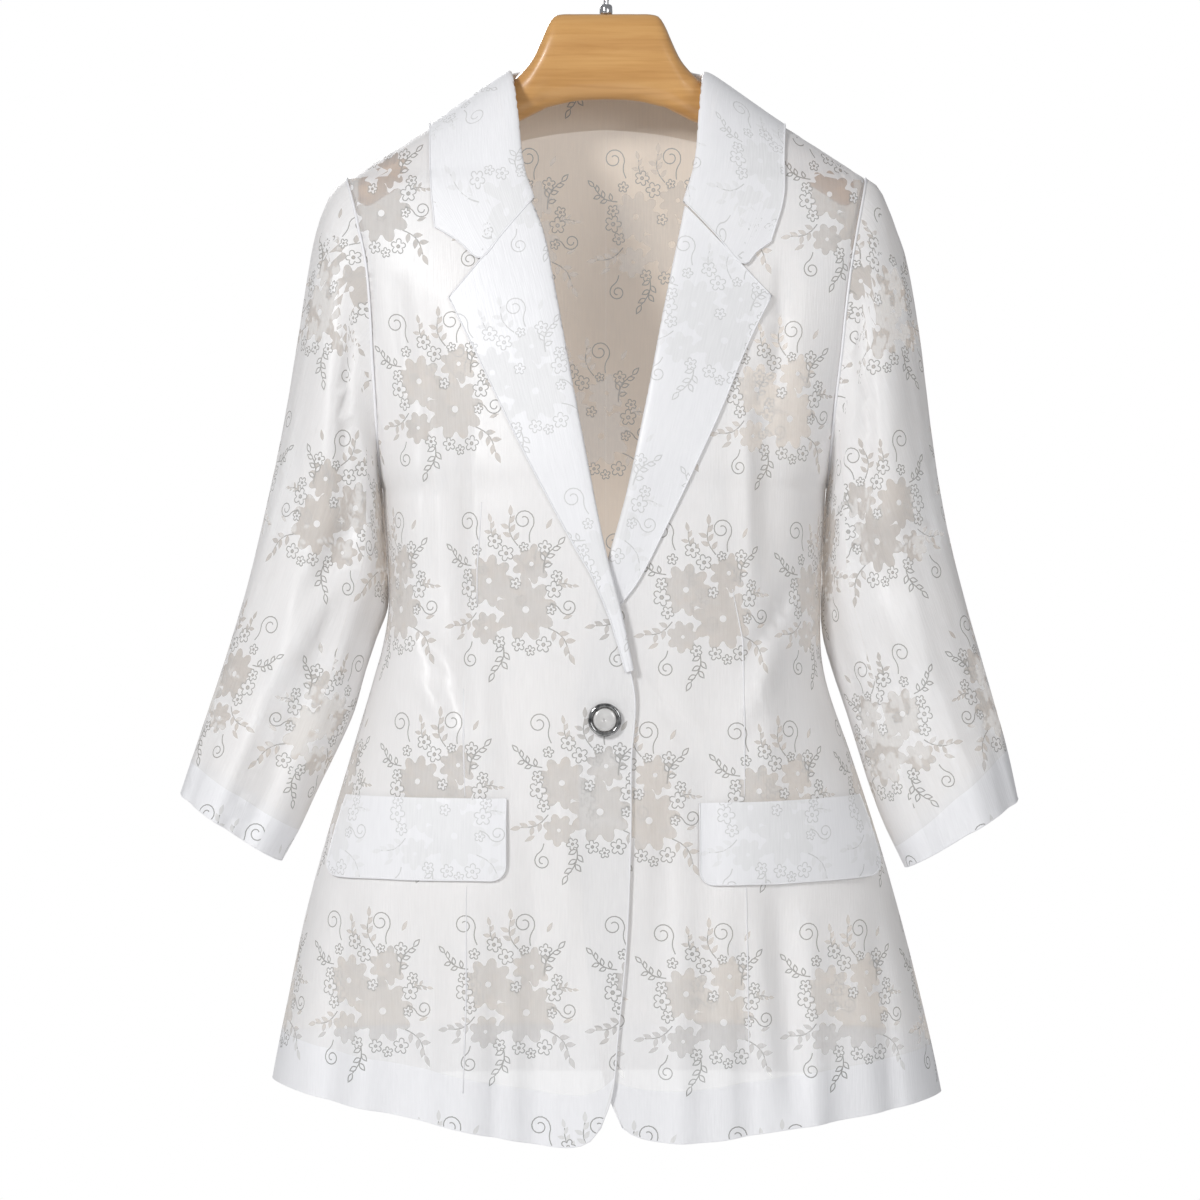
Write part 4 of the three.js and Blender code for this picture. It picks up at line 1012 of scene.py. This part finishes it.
for side in (RIGHT, LEFT):
    for part in ("upper", "under"):
        sleeve_piece(side, part)
    turns = np.radians(np.arange(0, 361, 4))
    seam = sleeve_point(side, turns, 0) - np.array([side * 0.5, 0, 0])
    tube(f"armhole_seam_{WORD[side]}", seam, ARMHOLE_R, DOUBLE)


def through(rows, columns):
    """Smooth curve through the rows of a list, as a table of a column for each number."""
    return pack(*(
        Table("key value", pack(np.arange(len(rows)), column)).value(columns)
        for column in np.array(rows, float).T
    ))


def lapel_piece(side):
    lapel, edge = LAPEL[side], by_side(FRONT_EDGE, side)
    steps = np.linspace(0, len(FOLD_STEPS) + len(FALL_STEPS) - 1, LAPEL_GRID[1])
    row = np.linspace(0, LAST_LAPEL_ROW, LAPEL_GRID[0])[:, None]
    roll_drop = lapel.rollDrop(row)
    roll_x = edge(roll_drop)
    wide_x, wide_drop = lapel.outerX(row) - roll_x, lapel.outerDrop(row) - roll_drop
    width = np.hypot(wide_x, wide_drop)
    low = smooth(width, 0, 40)
    share = np.zeros((len(row), len(steps)))
    high = np.zeros_like(share)
    for k in range(len(row)):
        rows = [[-past / width[k, 0], lift] for past, lift in FOLD_STEPS]
        rows += [[at, LIFT + (lift - LIFT) * lerp(0.6, 1, low[k, 0])] for at, lift in FALL_STEPS]
        found = through(rows, steps)
        share[k], high[k] = found[:, 0], found[:, 1]
    points = raised_front(side, roll_x + wide_x * share, roll_drop + wide_drop * share, high)
    normals = grid_normals(points, points * [1, 0, 1])
    flat = unrolled(points, 0.5, points[-1, 5] - points[0, 5]) * [side, 1]
    name = f"lapel_{WORD[side]}"
    made = cloth(f"{name}_cloth", points, normals, flat, DOUBLED, (side * 30, -60), LAPEL_ROLL)
    rim = np.concatenate([points[0, LAPEL_RIM:], points[1:, -1]])
    declare(made, name, [tube(f"{name}_edge_fold", rim, FOLD_R, DOUBLE)])


for side in (RIGHT, LEFT):
    lapel_piece(side)


def collar_piece():
    steps = np.linspace(0, 4 + len(FALL_STEPS), COLLAR_GRID[1])
    rows = []
    for turn in np.linspace(-1, 1, COLLAR_GRID[0]):
        side = RIGHT if turn < 0 else LEFT
        collar = COLLAR[side]
        row = LAST_STATION * (1 - abs(turn))
        base, roll, mid, edge = (
            np.array([getattr(collar, part + "X")(row), getattr(collar, part)(row)])
            for part in ("base", "roll", "mid", "edge")
        )
        drop = np.array([base[1] * abs(base[1]), roll[1] * abs(roll[1]), mid[1] * abs(mid[1])])
        stand = math.hypot(roll[0] - base[0], drop[1] - drop[0])
        width = math.hypot(mid[0] - roll[0], drop[2] - drop[1])
        start = min(FOLD_START / stand, 0.45)
        tight = lerp(roll, mid, -ROLL_OUT * 0.5 / width)
        far = lerp(roll, mid, -ROLL_OUT / width)
        found = [[*lerp(base, roll, start), -WALL], [*lerp(base, roll, 0.5 + start / 2), -WALL]]
        found += [[*tight, -0.8], [*far, 0.9], [*tight, 2.4]]
        for share, high in FALL_STEPS:
            inner = min(share / NOTCH_AT, 1)
            outer = max((share - NOTCH_AT) / (1 - NOTCH_AT), 0)
            found.append([*lerp(lerp(roll, mid, inner), edge, outer), high])
        across, root, high = through(found, steps).T
        rows.append(raised_seat(side, across, root * np.abs(root), high))
    points = np.array(rows)
    inside = points.mean(axis=(0, 1)) + [0, 0, -60]
    # The stand faces the other way, so the fall alone says which way is out
    outward = grid_normals(points[:, COLLAR_FALL:], inside)
    normals = grid_normals(points, inside)
    normals *= np.sign((normals[:, COLLAR_FALL + 5] * outward[:, 5]).sum())
    flat = measured(points, 0.6)
    made = cloth("collar_cloth", points, normals, flat, DOUBLED, (0, -40), COLLAR_ROLL)
    rim = np.concatenate([points[0, COLLAR_RIM:-1], points[:, -1], points[-1, -2 : COLLAR_RIM - 1 : -1]])
    declare(made, "collar", [tube("collar_edge_fold", rim, FOLD_R, DOUBLE)])


collar_piece()


# Inner end, outer end as a share of the half width, and how much lower the inner end lies
FLAP_ENDS = {RIGHT: (66, 0.955, 0), LEFT: (61, 0.965, 3)}


def flap_piece(side):
    inner_x, outer_share, tilt = FLAP_ENDS[side]
    u, row = shares(*FLAP_GRID)
    v = 1 - (1 - row) ** 1.5
    drop = FLAP_TOP + FLAP_HIGH * v + tilt * (1 - u)
    past = np.maximum(v * FLAP_HIGH - (FLAP_HIGH - FLAP_CORNER), 0)
    corner = FLAP_CORNER - np.sqrt(np.maximum(FLAP_CORNER**2 - past**2, 0))
    outer = angle_at(side, half_width(side, drop) * outer_share - corner, drop)
    angle = lerp(angle_at(side, inner_x + corner, drop), outer, u)
    aside = body_point(side, "front", angle + 0.01, drop) - body_point(side, "front", angle - 0.01, drop)
    down = body_point(side, "front", angle, drop + 1) - body_point(side, "front", angle, drop - 1)
    high = LIFT + FLAP_CROWN * np.sin(PI * np.minimum(v, 0.999)) ** 0.8
    points = body_point(side, "front", angle, drop) + forward_normal(aside, down) * high[..., None]
    normals = grid_normals(points, points * [1, 0, 1])
    name = f"flap_{WORD[side]}"
    flat = flat_of(side, "front", angle, drop)
    made = cloth(f"{name}_cloth", points, normals, flat, DOUBLED, (side * 110, -600))
    rim = np.concatenate([points[:-1, 0], points[-1], points[-2::-1, -1]])
    declare(made, name, [tube(f"{name}_edge_fold", rim, FINE_R, DOUBLE)])


for side in (RIGHT, LEFT):
    flap_piece(side)

# Dart seams of the fronts: places on the front as distance from the centre line and drop
DARTS = {
    RIGHT: [
        [[82, 392], [85, 436], [85, 460]], [[94, 515], [94, 552], [93, 586]],
        [[92, 645], [92, 719], [94, 780]],
    ],
    LEFT: [[[83, 449], [90, 483], [91, 540], [91, 586]], [[92, 645], [93, 690], [94, 760]]],
}


def dart_seam(name, side, places):
    """A thin line of seam on a front, finer at its ends."""
    path = np.array(places, float)
    t = np.linspace(0, len(path) - 1, 40)
    across, drop = (np.interp(t, range(len(path)), column) for column in path.T)
    taper = FINE_R * (0.25 + 0.75 * np.sin(PI * np.linspace(0.02, 0.98, len(t))) ** 0.5)
    tube(name, raised_front(side, across, drop, np.full(len(t), 0.15)), taper, DOUBLE)


for side in (RIGHT, LEFT):
    for k, places in enumerate(DARTS[side]):
        dart_seam(f"dart_{WORD[side]}_{k}", side, places)


# Hanger, hook and button
def wood_finish():
    made, nodes, links, shader = shader_of("varnished_wood", 0.32, Coat_Weight=0.6, Coat_Roughness=0.12)
    grain = textured(nodes, links, (14, 60, 260), 5, "Object")
    grain.inputs["Distortion"].default_value = 0.6
    broad = textured(nodes, links, (5, 20, 60), 2, "Object")
    woods = [(0.3, (0.6, 0.31, 0.095)), (0.5, (0.68, 0.37, 0.125)), (0.7, (0.73, 0.415, 0.15))]
    fine = ramp(nodes, links, grain.outputs["Fac"], woods)
    wide = ramp(nodes, links, broad.outputs["Fac"], [(0.3, (0.88, 0.84, 0.8)), (0.7, (1, 1, 1))])
    grained = multiplied(nodes, links, fine.outputs["Color"], wide.outputs["Color"])
    links.new(grained, shader.inputs["Base Color"])
    bumped(nodes, links, shader, grain.outputs["Fac"], 0.0004, 0.25)
    return made


def metal_finish(name, light, dark, roughness):
    made, nodes, links, shader = shader_of(name, roughness, Metallic=1.0)
    # Noise patches vary the colour: smudges on the chrome, and dark patches of painted reflection on the
    # button rim
    smudge_and_reflection = textured(nodes, links, (260, 260, 260), 3, "Object")
    colour = ramp(nodes, links, smudge_and_reflection.outputs["Fac"], [(0.35, dark), (0.65, light)])
    links.new(colour.outputs["Color"], shader.inputs["Base Color"])
    bumped(nodes, links, shader, smudge_and_reflection.outputs["Fac"], 0.0001, 0.2)
    return made


WOOD = wood_finish()
CHROME = metal_finish("chrome", (0.72, 0.72, 0.74), (0.55, 0.55, 0.57), 0.14)
# The button rim's metal is darkened, with dark noise patches as painted reflections of dark surroundings
RIM_PAINTED_REFLECTION = metal_finish("button_rim_painted_reflection", (0.5, 0.5, 0.5), (0.12, 0.12, 0.12), 0.12)

place = np.linspace(-1, 1, 181)[:, None]
place = np.sign(place) * np.abs(place) ** 0.9
x = place * HANGER_END
top, bottom = HANGER.top(np.abs(x)), HANGER.bottom(np.abs(x))
angle = np.linspace(0, 2 * PI, 48, endpoint=False)[None, :]
high = (bottom - top) / 2 * signed_power(np.sin(angle), HANGER_ROUND)
deep = HANGER.half(np.abs(x)) * signed_power(np.cos(angle), HANGER_ROUND)
ahead = -2 - np.abs(place) * 2
rings = pack(x, ahead + deep, -(top + bottom) / 2 + high)
stand_for(skinned("hanger_body", rings, WOOD), "hanger_wood")

radius = HOOK_INNER_R + WIRE_R
turns = np.radians(np.arange(-68, 203, 15))
crook = [(radius * math.cos(t), radius * math.sin(t) - HOOK_INNER_R) for t in turns]
stem_knots = [(0, -WOOD_TOP + CLEAR), (0, -WOOD_TOP + FERRULE_HIGH), (1.2, -HOOK_INNER_R - radius - 1.2)]
knots = np.array(stem_knots + crook)
route = through(knots, np.linspace(0, len(knots) - 1, 160))
path = pack(route[:, 0], 0, route[:, 1])
stand_for(tube("hook_wire", path, WIRE_R, CHROME, 20), "hanger_hook")


def turned_piece(name, outline, at, towards, finish, segments=72):
    """A turned solid from a closed outline of radius and height along an axis."""
    angle = np.linspace(0, 2 * PI, segments, endpoint=False)[:, None]
    r, h = np.array(outline, float).T
    if towards == "up":
        rings = pack(r * np.cos(angle), r * np.sin(angle), h)
    else:
        rings = pack(r * np.cos(angle), -h, r * np.sin(angle))
    return skinned(name, rings + at, finish, closed=True)


inner = WIRE_R + CLEAR + 0.1
ferrule = turned_piece("ferrule", [
    [inner, 0], [FERRULE_R, 0], [FERRULE_R + 0.2, 0.8], [FERRULE_R, FERRULE_HIGH - 1.4],
    [FERRULE_R - 0.5, FERRULE_HIGH - 0.4], [FERRULE_R - 1.2, FERRULE_HIGH], [inner, FERRULE_HIGH],
], (0, 0, -WOOD_TOP + CLEAR), "up", CHROME, 40)
stand_for(ferrule, "hook_ferrule")

seat = front_point(RIGHT, np.array(-BUTTON_X), np.array(BUTTON_DROP))
at = (BUTTON_X, seat[1] - LIE, -BUTTON_DROP)
curve = np.linspace(0, PI, 9)
rim_outline = [[BUTTON_HOLE_R, 0], [BUTTON_R - 0.8, 0], [BUTTON_R, 0.8], [BUTTON_R, BUTTON_THICK - 1.4]]
rim_outline += [[9.5 + 1.45 * math.cos(t), BUTTON_THICK - 1.4 + 1.4 * math.sin(t)] for t in curve[1:-1]]
rim_outline += [[BUTTON_HOLE_R + 0.1, BUTTON_THICK - 1.6]]
rim = turned_piece("button_ring", rim_outline, at, "front", RIM_PAINTED_REFLECTION)
stand_for(rim, "button_rim")


def pearl_finish():
    made, nodes, links, shader = shader_of("pearl", 0.22, Coat_Weight=0.5, Coat_Roughness=0.08)
    cloud = textured(nodes, links, (120, 120, 120), 3, "Object")
    greys = [(0.35, (0.56, 0.55, 0.54)), (0.65, (0.7, 0.69, 0.68))]
    colour = ramp(nodes, links, cloud.outputs["Fac"], greys)
    links.new(colour.outputs["Color"], shader.inputs["Base Color"])
    return made


disc = BUTTON_HOLE_R - CLEAR
centre = turned_piece("button_disc", [
    [0.01, 0], [disc, 0], [disc, 2.2], [disc * 0.94, 2.6], [disc * 0.7, 2.9], [disc * 0.35, 3.15],
    [0.01, 3.25],
], at, "front", pearl_finish())
stand_for(centre, "button_centre")

# Floor, light and camera
scene = bpy.context.scene
floor_mesh = bpy.data.meshes.new("floor")
SIDE, FLOOR = 2.0, -1.2
corners = [(x * SIDE, y * SIDE, FLOOR) for x, y in ((-1, -1), (1, -1), (1, 1), (-1, 1))]
floor_mesh.from_pydata(corners, [], [(0, 1, 2, 3)])
floor = bpy.data.objects.new("floor", floor_mesh)
scene.collection.objects.link(floor)
paint, _, _, shader = shader_of("floor_paint", 0.8)
shader.inputs["Base Color"].default_value = (0.9, 0.9, 0.9, 1)
floor_mesh.materials.append(paint)

FILL_LIGHT = 0.31
world = bpy.data.worlds.new("studio")
scene.world = world
world.use_nodes = True
nodes, links = world.node_tree.nodes, world.node_tree.links
seen = nodes["Background"]
seen.inputs["Color"].default_value = (1, 1, 1, 1)
fill = nodes.new("ShaderNodeBackground")
fill.inputs["Color"].default_value = (0.97, 0.98, 1, 1)
fill.inputs["Strength"].default_value = FILL_LIGHT
path_kind = nodes.new("ShaderNodeLightPath")
either = nodes.new("ShaderNodeMixShader")
links.new(path_kind.outputs["Is Camera Ray"], either.inputs["Fac"])
links.new(fill.outputs["Background"], either.inputs[1])
links.new(seen.outputs["Background"], either.inputs[2])
links.new(either.outputs["Shader"], nodes["World Output"].inputs["Surface"])
scene.view_settings.view_transform = "Standard"


def lamp(name, at, aim, size, power):
    light = bpy.data.lights.new(name, "AREA")
    light.shape, light.size, light.energy = "DISK", size, power
    made = bpy.data.objects.new(name, light)
    made.location = at
    made.rotation_euler = (Vector(aim) - Vector(at)).to_track_quat("-Z", "Y").to_euler()
    scene.collection.objects.link(made)


MIDDLE = (0, 0, -0.45)
lamp("key", (-1.6, -2.3, 0.8), MIDDLE, 0.6, 47)
lamp("front", (1.5, -2.6, 0.3), MIDDLE, 1.2, 17)
lamp("behind", (-0.9, 2.7, 1.1), MIDDLE, 1.2, 34)

CAMERA_AWAY, CAMERA_LEVEL, PICTURE_CENTRE, PICTURE_WIDE = 2.8, -0.4565, -0.0041, 0.816
lens = bpy.data.cameras.new("camera")
lens.sensor_width = 36
lens.lens = 36 * CAMERA_AWAY / PICTURE_WIDE
camera = bpy.data.objects.new("camera", lens)
camera.location = (PICTURE_CENTRE, -CAMERA_AWAY, CAMERA_LEVEL)
camera.rotation_euler = (PI / 2, 0, 0)
scene.collection.objects.link(camera)
scene.camera = camera
